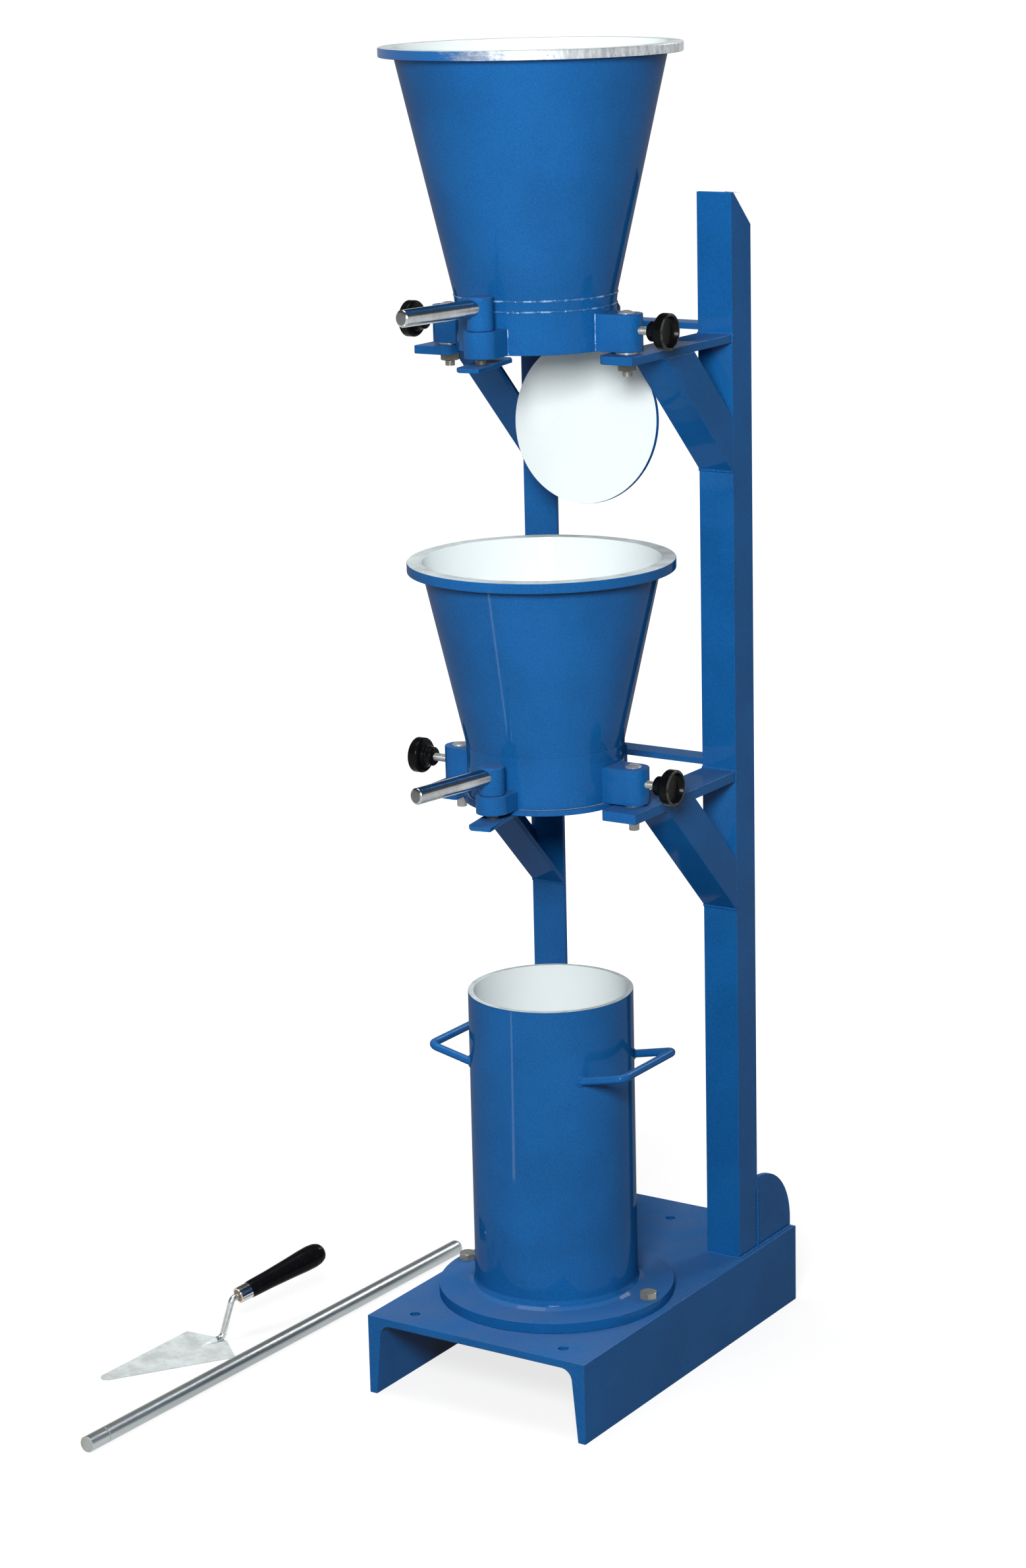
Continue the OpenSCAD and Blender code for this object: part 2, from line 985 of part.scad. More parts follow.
module lower_hinge_ears() {
  color(blue)
    translate([0, 0, lower_z])
      hinge_ears(lower_h, lower_top_d);
}

module lower_hinge_pin() {
  color(dull)
    translate([0, 0, lower_z])
      hinge_pin();
}

module lower_trapdoor() {
  color(blue)
    translate([0, 0, lower_z])
      trapdoor();
}

module lower_door_strap() {
  color(blue)
    translate([0, 0, lower_z])
      door_strap();
}

module lower_latch_shaft() {
  color(dull)
    translate([0, 0, lower_z])
      latch_shaft(lower_latch);
}

module lower_latch_hub() {
  color(blue)
    translate([0, 0, lower_z])
      latch_hub(lower_latch);
}

module lower_latch_lever() {
  color(bright)
    translate([0, 0, lower_z])
      latch_lever(lower_latch);
}

module lower_latch_plate() {
  color(blue)
    translate([0, 0, lower_z])
      latch_plate();
}

module lower_left_screw() {
  color(dull)
    translate([-backed_off, 0, lower_z])
      mirror([1, 0, 0])
        thumb_screw();
}

module lower_left_knob() {
  color(black)
    translate([-backed_off, 0, lower_z])
      mirror([1, 0, 0])
        knob();
}

module lower_right_screw() {
  color(dull)
    translate([0, 0, lower_z])
      thumb_screw();
}

module lower_right_knob() {
  color(black)
    translate([0, 0, lower_z])
      knob();
}

// The tamping rod on the floor: a rounded far end and a turned groove near the other.
module tamping_rod() {
  color(bare)
    translate([rod_at[0], rod_at[1], rod_r])
      rotate([-90, 0, -rod_turn])
        difference() {
          union() {
            cylinder(r = rod_r, h = rod_len - rod_r);
            translate([0, 0, rod_len - rod_r])
              sphere(r = rod_r);
          }
          translate([0, 0, groove_at])
            difference() {
              cylinder(r = rod_r + 1, h = groove_w);
              translate([0, 0, -1])
                cylinder(r = rod_r - groove_depth, h = groove_w + 2);
            }
        }
}

// The trowel lies on its blade.
module at_trowel() {
  translate([trowel_at[0], trowel_at[1], 0])
    rotate([0, 0, -trowel_turn])
      children();
}

// Along the handle's axis from the end of the tang's upper bend.
module at_handle() {
  at_trowel()
    translate([0, tang_high[0], tang_high[1]])
      rotate([handle_rise - 90, 0, 0])
        children();
}

module trowel_blade() {
  side = atan((blade_w / 2 - tip_r) / (blade_len - heel_y));
  tip = [tip_r * cos(side), tip_r - blade_len - tip_r * sin(side)];
  color(bare)
    at_trowel()
      union() {
        linear_extrude(blade_t)
          union() {
            polygon([
              [-tip[0], tip[1]],
              tip,
              [blade_w / 2, -heel_y],
              [heel_half, -2],
              [-heel_half, -2],
              [-blade_w / 2, -heel_y]
            ]);
            translate([0, tip_r - blade_len])
              circle(r = tip_r);
          }
        translate([0, tang_start[0], tang_start[1]])
          rotate([0, 0, 90])
            rotate([0, 90, 0])
              bent_bar(
                [[tang_foot, -tang_turn], [tang_rise, handle_turn], [tang_end, 0]],
                tang_r, tang_bend
              );
      }
}

module trowel_ferrule() {
  color(bright)
    at_handle()
      translate([0, 0, ferrule_at])
        difference() {
          cylinder(r = ferrule_r, h = ferrule_h);
          translate([0, 0, ferrule_floor])
            cylinder(r = ferrule_r - ferrule_wall, h = ferrule_h);
          translate([0, 0, -1])
            cylinder(r = tang_r, h = ferrule_floor + 2);
        }
}

module trowel_handle() {
  color(black)
    at_handle()
      difference() {
        rotate_extrude()
          polygon([
            [0, handle_at],
            [ferrule_r - ferrule_wall, handle_at],
            [ferrule_r - ferrule_wall, ferrule_at + ferrule_h],
            [8.8, ferrule_at + ferrule_h],
            [9.2, 24],
            [9.6, 44],
            [10.8, 69],
            [12, 89],
            [12.2, 99],
            [11.4, 106],
            [9.4, 111],
            [6, 114],
            [0, 115]
          ]);
        translate([0, 0, handle_at - 1])
          cylinder(r = tang_r, h = tang_end + 1 - handle_at);
      }
}

base_channel();
post_left();
post_right();
foot_gussets();
upper_arm_left();
upper_arm_right();
lower_arm_left();
lower_arm_right();
upper_brace_left();
upper_brace_right();
lower_brace_left();
lower_brace_right();
cross_bars();
upper_seat_pins();
upper_pin_nuts();
lower_seat_pins();
cylinder_tube();
cylinder_flange();
cylinder_handle_left();
cylinder_handle_right();
cylinder_bolts();
upper_cone();
upper_rim();
upper_collar();
upper_seat_lugs();
upper_latch_lug();
upper_hinge_ears();
upper_hinge_pin();
upper_trapdoor();
upper_door_strap();
upper_latch_shaft();
upper_latch_hub();
upper_latch_lever();
upper_latch_plate();
upper_left_screw();
upper_left_knob();
upper_right_screw();
upper_right_knob();
lower_cone();
lower_rim();
lower_collar();
lower_seat_lugs();
lower_latch_lug();
lower_hinge_ears();
lower_hinge_pin();
lower_trapdoor();
lower_door_strap();
lower_latch_shaft();
lower_latch_hub();
lower_latch_lever();
lower_latch_plate();
lower_left_screw();
lower_left_knob();
lower_right_screw();
lower_right_knob();
tamping_rod();
trowel_blade();
trowel_ferrule();
trowel_handle();
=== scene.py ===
import json
import math

import bmesh
import bpy
from mathutils import Matrix, Vector

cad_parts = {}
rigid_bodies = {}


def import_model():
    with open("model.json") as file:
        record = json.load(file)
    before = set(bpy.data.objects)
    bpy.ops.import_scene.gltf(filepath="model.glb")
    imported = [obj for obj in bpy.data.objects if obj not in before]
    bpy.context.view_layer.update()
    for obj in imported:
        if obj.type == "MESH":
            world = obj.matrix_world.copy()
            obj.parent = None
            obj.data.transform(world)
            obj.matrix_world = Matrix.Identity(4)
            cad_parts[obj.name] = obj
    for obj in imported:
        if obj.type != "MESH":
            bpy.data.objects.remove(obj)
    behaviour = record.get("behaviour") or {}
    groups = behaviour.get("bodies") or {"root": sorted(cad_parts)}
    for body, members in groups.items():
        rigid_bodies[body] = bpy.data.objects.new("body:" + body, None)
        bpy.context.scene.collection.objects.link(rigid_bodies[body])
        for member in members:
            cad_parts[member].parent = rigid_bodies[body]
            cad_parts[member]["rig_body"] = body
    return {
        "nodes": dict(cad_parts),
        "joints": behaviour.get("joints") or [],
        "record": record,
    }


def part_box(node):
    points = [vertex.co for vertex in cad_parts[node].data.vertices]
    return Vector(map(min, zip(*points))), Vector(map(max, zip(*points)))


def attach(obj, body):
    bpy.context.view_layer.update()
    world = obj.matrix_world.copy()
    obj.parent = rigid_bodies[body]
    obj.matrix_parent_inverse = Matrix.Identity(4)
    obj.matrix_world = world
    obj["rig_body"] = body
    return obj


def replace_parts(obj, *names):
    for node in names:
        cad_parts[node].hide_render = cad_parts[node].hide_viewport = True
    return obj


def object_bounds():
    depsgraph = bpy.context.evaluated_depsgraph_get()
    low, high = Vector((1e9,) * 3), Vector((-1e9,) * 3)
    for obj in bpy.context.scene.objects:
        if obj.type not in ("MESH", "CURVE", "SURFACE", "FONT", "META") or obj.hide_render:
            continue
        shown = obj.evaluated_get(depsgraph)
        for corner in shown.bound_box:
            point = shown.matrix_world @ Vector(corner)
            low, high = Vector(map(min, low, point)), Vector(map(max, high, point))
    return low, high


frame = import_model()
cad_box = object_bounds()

# Lengths are in metres. Seen from the front, X is to the right, Y to the back and Z up.
MM = 0.001
SIDES = ("upper", "lower")

# The photograph's height and the camera that took it, in pixels, degrees and metres
PHOTO_H = 2380
FOCAL_PX = 5444.7
SENSOR_MM = 36.0
CAMERA_AT = (1.8195, -2.8425, 1.4519)
CAMERA_AZIMUTH = 33.17
CAMERA_ELEVATION = 14.08
CAMERA_ROLL = -1.36
CLIP_START = 0.1
CLIP_END = 200

# Each lamp's direction from the part's middle, its distance, its side and its power in watts
LAMPS = {
    "key_lamp": ((0.60, -1, 0.51), 2.6, 0.6, 77),
    "top_lamp": ((-0.18, -0.1, 1), 8.0, 4.0, 420),
    "back_lamp": ((0.3, 1, 0.62), 3.2, 0.8, 26),
}
# The strip of light on the floor lies along a heading in degrees
STRIP_HEADING = -113
STRIP_NEAR = 0.65
STRIP_FAR = 1.35
STRIP_W = 0.05
STRIP_UP = 0.01
STRIP_POWER = 0.9

# The world's even light, the backdrop overhead, and the heights of a line of sight, as sines,
# between which the white backdrop turns to that
AMBIENT = 0.05
CEILING = 0.10
BACKDROP_FADE = (0.12, 0.34)

# The floor's reach and tone, its glow near the part, and the distances in which that turns white
FLOOR_REACH = 70.0
FLOOR_TONE = (0.22, 0.22, 0.22)
FLOOR_GLOW = 0.78
FLOOR_FADE = (0.5, 1.8)

# Hoppers, doors and cylinder
SHEET = 2 * MM
MOUTH_R = 63.5 * MM
COLLAR_R = 76 * MM
BAND_H = 10 * MM
BAND_TOP = 0.4 * MM
SIDE_LUG_W = 15.5 * MM
SIDE_LUG_H = 35 * MM
LATCH_LUG_W = 16 * MM
EAR_EDGES = (26 * MM, 34 * MM)
DOOR_R = 80 * MM
DOOR_T = 5 * MM
DOOR_GAP = 0.3 * MM
HINGE_Y = 88 * MM
HINGE_UP = 6 * MM
HINGE_R = 5 * MM
TUBE_WALL = 5.5 * MM
FOOT_WELD = 6 * MM
FOOT_WELD_RISE = 1.3
HANDLE_X = 111.5 * MM
HANDLE_Y = 49 * MM
HANDLE_R = 4 * MM
HANDLE_SLOPE = math.atan(10 / 46)

# Pins, nuts, bolts and thumb screws
PIN_X = 99 * MM
PIN_R = 8 * MM
PIN_DOME = 2.5 * MM
SHOULDER_R = 11 * MM
SHOULDER_H = 1.7 * MM
SHANK_R = 5 * MM
BOSS_R = 9 * MM
BOSS_H = 4 * MM
PIN_IN_NUT = 1 * MM
NUT_FLATS = 17 * MM
STUD_PITCH = 1.5 * MM
STUD_SHORT = 4 * MM
BOLT_FLATS = 16 * MM
BOLT_X = 107 * MM
SCREW_R = 4 * MM
SCREW_PITCH = 1.25 * MM
THREAD_DEPTH = 0.45

# Latches
LATCH_Y = -95 * MM
HUB_R = 12.5 * MM
SHAFT_R = 5.5 * MM
LEVER_R = 8 * MM
LEVER_IN = 3 * MM
LEVER_LEN = 104 * MM
LEVER_TURN = 10

# Rod and trowel, which lie on the floor
ROD_R = 8 * MM
ROD_DOME = ROD_R * 0.999
ROD_LEN = 610 * MM
ROD_AT = (-281 * MM, -405 * MM, ROD_R)
ROD_TURN = 2.26
TROWEL_AT = (-331.5 * MM, -119.6 * MM, 0)
TROWEL_TURN = 18.5
BLADE_EDGE = 0.25 * MM
BLADE_TOP = 1.8 * MM
TANG_ROOT_AT = (0, -11 * MM, 3.6 * MM)
TANG_ROOT_TILT = 96
GRIP_AT = (0, 14.107 * MM, 43.693 * MM)
GRIP_RISE = 11

# How far the corners of turned pieces are rounded
MOUTH_ROUND = 0.5 * MM
CONE_TOP_ROUNDS = (0.4 * MM, 0.6 * MM)
RIM_ROUND = 1.2 * MM
COLLAR_ROUNDS = (0.8 * MM, 0.4 * MM, 0.2 * MM)
DOOR_ROUNDS = (0.7 * MM, 0.3 * MM)
WELD_ROUND = 1.5 * MM
TUBE_ROUND = 0.7 * MM
PIN_ROUND = 0.8 * MM
BOSS_ROUND = 1.0 * MM
SHOULDER_ROUND = 0.6 * MM
BOLT_ROUND = 0.6 * MM
HUB_ROUNDS = (0.7 * MM, 1.8 * MM)
ROD_ROUND = 0.7 * MM

# Rows of radius, height and rounding in millimetres, and which finish starts there. The radii of
# KNOB_HEAD are from the knob's edge, those of ROD_GROOVE from the rod's side, and the radii and
# heights of LEVER_END from the lever's side and end.
KNOB_NECK = [
    (0, 0, 0, 0), (8, 0, 0.5, 0), (9.5, 1.5, 0.6, 0), (9.5, 7, 0.8, 0), (11.5, 8.5, 0.5, 0),
    (11.5, 10.2, 0.4, 0),
]
KNOB_HEAD = [
    (-2, 11, 0.7, 0), (0, 13, 1.2, 0), (0, 21, 0.5, 1), (-1, 22, 0.5, 1), (-2.5, 22, 0.6, 0),
    (-5, 17, 1.5, 0),
]
KNOB_DISH = [(0, 16, 0, 0)]
LEVER_END = [(0, -1.8, 0.7, 0), (-1.8, -0.3, 0.7, 1), (-4, 0, 0.5, 1)]
ROD_GROOVE = [(0, 25, 0.15, 0), (-0.5, 25.2, 0, 0), (-0.5, 26.0, 0, 0), (0, 26.2, 0.15, 0)]
TANG_ROOT = [(0, 0, 0, 0), (3.3, 0, 0, 0), (2.6, 8, 2, 0), (0.6, 19, 0.3, 0), (0, 19.4, 0, 0)]
GRIP = [
    (0, 7, 0, 0), (7.4, 7, 0, 0), (7.4, 18, 0, 0), (8.8, 18, 0, 0), (9.2, 24, 1.2, 0),
    (9.6, 44, 1.2, 0), (10.8, 69, 1.2, 0), (12, 89, 1.2, 0), (12.2, 99, 1.2, 0),
    (11.4, 106, 1.2, 0), (9.4, 111, 1.2, 0), (6, 114, 1.2, 0), (0, 115, 0, 0),
]
FERRULE = [
    (0, 4, 0, 1), (6.6, 4, 0, 0), (8.5, 4, 0.6, 0), (8.5, 18, 0.2, 0), (7.5, 18, 0, 0),
    (7.5, 6, 0, 0), (0, 6, 0, 0),
]

# Half the width of each weld bead, and how lumpy it is
STAND_BEAD = (1.5 * MM, 0.5)
HANDLE_BEAD = (1.3 * MM, 0.4)
LUG_BEAD = (0.8 * MM, 0.7)
BAND_BEAD = (0.9 * MM, 1.1)
RIM_BEAD = (1.2 * MM, 0.5)
# How far above the collar's foot the lugs' beads start, how far the gussets' beads stop short of
# their ends, and how far out a handle's bead lies for the handle's radius
LUG_BEAD_UP = 1 * MM
GUSSET_BACK_SHORT = 2 * MM
GUSSET_TOP_SHORT = 14 * MM
HANDLE_BEAD_OUT = 1.05
# Every bead's step for its half width, how fast and how deep it ripples, and its lumps' scale
BEAD_STEP = 0.45
BEAD_RIPPLES = 2.4
BEAD_RIPPLE_DEPTH = 0.12
BEAD_LUMPS = 210

# CAD nodes that are copied with their edges rounded, and those made of round bar
EASED = [
    "base_channel", "post_left", "post_right", "foot_gussets", "upper_arm_left",
    "upper_arm_right", "lower_arm_left", "lower_arm_right", "upper_brace_left",
    "upper_brace_right", "lower_brace_left", "lower_brace_right", "cross_bars",
    "cylinder_flange", "upper_seat_lugs", "lower_seat_lugs", "upper_latch_lug",
    "lower_latch_lug", "upper_hinge_ears", "lower_hinge_ears", "upper_door_strap",
    "lower_door_strap", "upper_latch_plate", "lower_latch_plate",
]
BARS = ["cylinder_handle_left", "cylinder_handle_right"]
EDGE = 0.6 * MM
EDGE_STEPS = 3
# Points this close are joined, faces that meet at less than FLAT become one, and an edge that
# turns by more than SHARP counts as sharp, in radians
PLATE_MERGE = 0.002 * MM
BAR_MERGE = 0.03 * MM
FLAT = 0.004
SHARP = math.radians(28)

# How finely round shapes are made. A point nearer the axis than ON_AXIS is a pole, and the paint
# changes at PAINT_FROM of the way round a corner.
TURNS = 144
HEXAGON_TURNS = 72
BOLT_TURNS = 48
ON_AXIS = 1e-7
CORNER_STEPS = 5
PAINT_FROM = 0.45
PIN_DOME_STEPS = 8
ROD_DOME_STEPS = 14
THREAD_SIDES = 36
THREAD_STEPS = 8
BEAD_SIDES = 10
RING_POINTS = 160
HANDLE_POINTS = 24

# A hexagon's round face as a share of its flats, and the slope of its turned corners
FACE_SHARE = 0.97
CORNER_SLANT = math.tan(math.radians(30))

# Colours, linear
BLUE = (0.0090, 0.113, 0.350)
WHITE = (0.77, 0.83, 0.835)
# Dust and a painted sheen on faces that look up
DUST_AND_SHEEN = (0.62, 0.60, 0.52)
# Painted highlights on weld beads: pale streaks and glints
PAINTED_HIGHLIGHT_STREAK = (0.24, 0.40, 0.60)
PAINTED_GLINT = (0.38, 0.54, 0.68)
RIM_BRIGHT = (0.56, 0.60, 0.61)
RIM_DARK = (0.34, 0.37, 0.39)
RUST = (0.16, 0.055, 0.018)
WORN_GREY = (0.20, 0.21, 0.20)
PALE_WOOD = (0.42, 0.27, 0.13)
DARK_WOOD = (0.24, 0.13, 0.06)

# Patches on bare metal: the scale of their noise, the level at which they begin, and their colour
RUST_SPOTS = (160, 0.60, RUST)
BOLT_SPOTS = (160, 0.62, RUST)
STUD_SPOTS = (200, 0.58, (0.26, 0.11, 0.035))
BLADE_SPOTS = (240, 0.6, (0.50, 0.52, 0.50))

# The worn rim, in degrees from the front left round by the right: where bare metal comes in and
# where it goes out again, and how ragged its edge is
RIM_START = math.radians(242)
BARE_FROM = (24, 56)
BARE_UNTIL = (150, 165)
BARE_RAGGED = 60

# Every material that is made here, and the material slot of every CAD node
LOOKS = {}
SLOTS = {part["node"]: part["material_slot"] for part in frame["record"]["subparts"]}


class Value:
    """One socket of a node tree. Arithmetic on it adds Math nodes to the tree."""

    def __init__(self, tree, socket):
        self.tree = tree
        self.socket = socket

    def output(self, name):
        return Value(self.tree, self.socket.node.outputs[name])

    def math(self, operation, *others):
        return self.tree.calculate("ShaderNodeMath", operation, self, *others)

    def vector(self, operation, *others):
        return self.tree.calculate("ShaderNodeVectorMath", operation, self, *others)

    def __add__(self, other):
        return self.math("ADD", other)

    def __mul__(self, other):
        return self.math("MULTIPLY", other)

    def __sub__(self, other):
        return self.math("SUBTRACT", other)

    def __rsub__(self, other):
        return self.tree.calculate("ShaderNodeMath", "SUBTRACT", other, self)

    def __truediv__(self, other):
        return self.math("DIVIDE", other)

    def __rtruediv__(self, other):
        return self.tree.calculate("ShaderNodeMath", "DIVIDE", other, self)

    __radd__ = __add__
    __rmul__ = __mul__

    def between(self, low, high):
        """0 below low and 1 above high, turning smoothly in between."""
        sockets = {"Value": self, "From Min": low, "From Max": high}
        return self.tree.node("ShaderNodeMapRange", {"interpolation_type": "SMOOTHSTEP"}, sockets)


class Tree:
    """A node tree that is built one node at a time."""

    def __init__(self, group):
        self.nodes = group.nodes
        self.links = group.links

    def join(self, value, socket):
        if isinstance(value, Value):
            self.links.new(value.socket, socket)
        elif socket.type == "RGBA":
            socket.default_value = (*value, 1)
        else:
            socket.default_value = value

    def node(self, kind, settings=(), sockets=(), out=0):
        made = self.nodes.new(kind)
        for name, value in dict(settings).items():
            setattr(made, name, value)
        for name, value in dict(sockets).items():
            self.join(value, made.inputs[name])
        return Value(self, made.outputs[out])

    def calculate(self, kind, operation, *operands):
        return self.node(kind, {"operation": operation}, dict(enumerate(operands)))


class Finish(Tree):
    """A material, kept in LOOKS: one Principled surface and the nodes behind it."""

    def __init__(self, name, **constants):
        material = bpy.data.materials.new(name)
        material.use_nodes = True
        super().__init__(material.node_tree)
        self.surface = self.nodes["Principled BSDF"]
        self.place = self.node("ShaderNodeTexCoord", out="Object")
        self.set(**constants)
        LOOKS[name] = material

    def noise(self, scale, detail=2.0, roughness=0.5, stretch=(1, 1, 1)):
        at = self.node("ShaderNodeMapping", {}, {"Vector": self.place, "Scale": stretch})
        sockets = {"Vector": at, "Scale": scale, "Detail": detail, "Roughness": roughness}
        return self.node("ShaderNodeTexNoise", {}, sockets)

    def mix(self, factor, first, second):
        sockets = {0: factor, 6: first, 7: second}
        return self.node("ShaderNodeMix", {"data_type": "RGBA"}, sockets, out=2)

    def bump(self, height, distance, strength):
        sockets = {"Height": height, "Distance": distance, "Strength": strength}
        return self.node("ShaderNodeBump", {}, sockets)

    def set(self, **sockets):
        for name, value in sockets.items():
            self.join(value, self.surface.inputs[name.replace("_", " ")])


class Recipe(Tree):
    """A Geometry Nodes tree with named inputs, which are set by their identifiers."""

    def __init__(self, name, inputs):
        self.group = bpy.data.node_groups.new(name, "GeometryNodeTree")
        super().__init__(self.group)
        sides = self.group.interface
        sides.new_socket("Geometry", in_out="OUTPUT", socket_type="NodeSocketGeometry")
        sides.new_socket("Geometry", in_out="INPUT", socket_type="NodeSocketGeometry")
        for label in inputs:
            sides.new_socket(label, in_out="INPUT", socket_type="NodeSocketFloat")
        sides.new_socket("Paint", in_out="INPUT", socket_type="NodeSocketMaterial")
        self.start = self.nodes.new("NodeGroupInput")

    def given(self, name):
        return Value(self, self.start.outputs[name])

    def end_with(self, geometry):
        soft = self.node("GeometryNodeSetShadeSmooth", {}, {0: geometry})
        whole = self.node("GeometryNodeRealizeInstances", {}, {0: soft})
        sockets = {"Geometry": whole, "Material": self.given("Paint")}
        painted = self.node("GeometryNodeSetMaterial", {}, sockets)
        self.join(painted, self.nodes.new("NodeGroupOutput").inputs[0])

    def make(self, piece, values):
        modifier = piece.modifiers.new("recipe", "NODES")
        modifier.node_group = self.group
        for item in self.group.interface.items_tree:
            if item.in_out == "INPUT" and item.name in values:
                modifier[item.identifier] = values[item.name]
        return settle(piece)


def slide_by(x=0.0, y=0.0, z=0.0):
    return Matrix.Translation((x, y, z))


def turn_by(degrees, axis):
    return Matrix.Rotation(math.radians(degrees), 4, axis)


def add_to_scene(name, data):
    piece = bpy.data.objects.new(name, data)
    bpy.context.scene.collection.objects.link(piece)
    return piece


def make_camera():
    """The photograph is upright, so its height takes the whole width of the sensor."""
    data = bpy.data.cameras.new("photo_camera")
    data.sensor_width = SENSOR_MM
    data.lens = FOCAL_PX / PHOTO_H * SENSOR_MM
    data.clip_start = CLIP_START
    data.clip_end = CLIP_END
    camera = add_to_scene("photo_camera", data)
    turn = turn_by(CAMERA_AZIMUTH, "Z") @ turn_by(90 - CAMERA_ELEVATION, "X")
    camera.matrix_world = slide_by(*CAMERA_AT) @ turn @ turn_by(CAMERA_ROLL, "Z")
    bpy.context.scene.camera = camera


def hang_lamp(name, shape, size, power):
    data = bpy.data.lights.new(name, "AREA")
    data.shape = shape
    data.size, data.size_y = size
    data.energy = power
    return add_to_scene(name, data)


def make_lamp(name, direction, distance, size, power):
    lamp = hang_lamp(name, "SQUARE", (size, size), power)
    middle = (cad_box[0] + cad_box[1]) / 2
    away = Vector(direction).normalized()
    lamp.location = middle + away * distance
    lamp.rotation_euler = away.to_track_quat("Z", "Y").to_euler()


def make_floor_strip():
    """A low strip of light on the floor, which draws a streak down the lower hopper."""
    lamp = hang_lamp("floor_strip", "RECTANGLE", (STRIP_FAR - STRIP_NEAR, STRIP_W), STRIP_POWER)
    out = slide_by((STRIP_NEAR + STRIP_FAR) / 2, 0, STRIP_UP)
    lamp.matrix_world = turn_by(STRIP_HEADING, "Z") @ out @ turn_by(180, "X")


def seen_directly(tree):
    """1 for the camera, for reflections and for what is seen through glass."""
    path = tree.node("ShaderNodeLightPath")
    seen = path.output("Is Camera Ray") + path.output("Is Glossy Ray")
    return (seen + path.output("Is Transmission Ray")).math("MINIMUM", 1)


def make_world():
    """A white backdrop that greys overhead, and an even light where it isn't seen directly."""
    world = bpy.data.worlds.new("studio")
    bpy.context.scene.world = world
    world.use_nodes = True
    tree = Tree(world.node_tree)
    seen = seen_directly(tree)
    direction = tree.node("ShaderNodeTexCoord", out="Generated")
    up = tree.node("ShaderNodeSeparateXYZ", {}, {0: direction}, "Z")
    backdrop = 1 - up.between(*BACKDROP_FADE) * (1 - CEILING)
    background = tree.nodes["Background"].inputs
    tree.join(seen * (backdrop - AMBIENT) + AMBIENT, background["Strength"])
    tree.join((1, 1, 1), background["Color"])


def make_floor():
    """A white floor that shows the object's shadow and fades into the backdrop."""
    mesh = bpy.data.meshes.new("floor")
    signs = [(-1, -1), (1, -1), (1, 1), (-1, 1)]
    corners = [(x * FLOOR_REACH, y * FLOOR_REACH, 0) for x, y in signs]
    mesh.from_pydata(corners, [], [(0, 1, 2, 3)])
    finish = Finish("studio_floor", Roughness=0.9, Base_Color=FLOOR_TONE)
    away = finish.place.vector("LENGTH").output("Value")
    near = away.between(*FLOOR_FADE) * (1 - FLOOR_GLOW) + FLOOR_GLOW
    glow = finish.node("ShaderNodeCombineXYZ", {}, {0: near, 1: near, 2: near})
    finish.set(Emission_Color=glow, Emission_Strength=seen_directly(finish))
    mesh.materials.append(LOOKS["studio_floor"])
    add_to_scene("floor", mesh)


def settle(piece):
    """Gives a piece the mesh that its modifiers make, and removes them."""
    graph = bpy.context.evaluated_depsgraph_get()
    whole = piece.evaluated_get(graph)
    mesh = bpy.data.meshes.new_from_object(whole, preserve_all_data_layers=True, depsgraph=graph)
    mesh.name = piece.name
    piece.modifiers.clear()
    piece.data = mesh
    return piece


def smooth(piece):
    """Smooth faces whose normals lean to the larger neighbours, with sharp corners kept."""
    piece.data.shade_smooth()
    piece.data.set_sharp_from_angle(angle=SHARP)
    modifier = piece.modifiers.new("normals", "WEIGHTED_NORMAL")
    modifier.keep_sharp = True
    modifier.weight = 100
    return settle(piece)


def new_piece(name, build, looks):
    """A piece from a bmesh, with its faces turned outwards."""
    bmesh.ops.recalc_face_normals(build, faces=build.faces)
    mesh = bpy.data.meshes.new(name)
    build.to_mesh(mesh)
    build.free()
    for look in looks:
        mesh.materials.append(LOOKS[look])
    return add_to_scene(name, mesh)


def ride_with(piece, node):
    """An added piece moves with a CAD node's body."""
    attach(piece, frame["nodes"][node]["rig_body"])
    return piece


def hang_on(piece, node):
    """The piece stands for a CAD node and moves with its body."""
    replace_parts(ride_with(piece, node), node)
    return piece


def profile(rows, radius=0.0, height=0.0):
    """An outline in metres from rows in millimetres, which start at a radius and a height."""
    return [
        (radius + out * MM, height + up * MM, rounding * MM, paint)
        for out, up, rounding, paint in rows
    ]


def ease_corners(outline):
    """Rounds the corners of an outline of (radius, height, rounding, paint) points."""
    eased_outline = []
    for index, (radius, height, rounding, paint) in enumerate(outline):
        corner = Vector((radius, height))
        if rounding == 0:
            eased_outline.append((corner, paint))
            continue
        before = Vector(outline[index - 1][:2])
        after = Vector(outline[(index + 1) % len(outline)][:2])
        start = corner + (before - corner).normalized() * rounding
        end = corner + (after - corner).normalized() * rounding
        for step in range(CORNER_STEPS + 1):
            t = step / CORNER_STEPS
            point = start * (1 - t) ** 2 + corner * 2 * t * (1 - t) + end * t ** 2
            eased_outline.append((point, paint if t > PAINT_FROM else outline[index - 1][3]))
    return eased_outline


def turn_round(build, outline, place, turns=TURNS, radius_at=None):
    """Turns an outline round the Z axis and puts it in its place."""
    rings = []
    for point, paint in outline:
        count = turns if point.x > ON_AXIS else 1
        ring = []
        for angle in (2 * math.pi * i / turns for i in range(count)):
            radius, height = radius_at(point, angle) if radius_at else point
            corner = Vector((radius * math.cos(angle), radius * math.sin(angle), height))
            ring.append(build.verts.new(place @ corner))
        rings.append((ring, paint))
    for (ring, paint), (following, _) in zip(rings, rings[1:] + rings[:1]):
        for i in range(turns):
            j = (i + 1) % turns
            corners = [ring[i % len(ring)], ring[j % len(ring)]]
            corners += [following[j % len(following)], following[i % len(following)]]
            corners = list(dict.fromkeys(corners))
            if len(corners) > 2:
                build.faces.new(corners).material_index = paint


def lathe(name, outline, looks, *places):
    """One turned piece, or the same one at several places, in the finishes that are named."""
    build = bmesh.new()
    for place in places or [Matrix()]:
        turn_round(build, ease_corners(outline), place)
    return smooth(new_piece(name, build, looks))


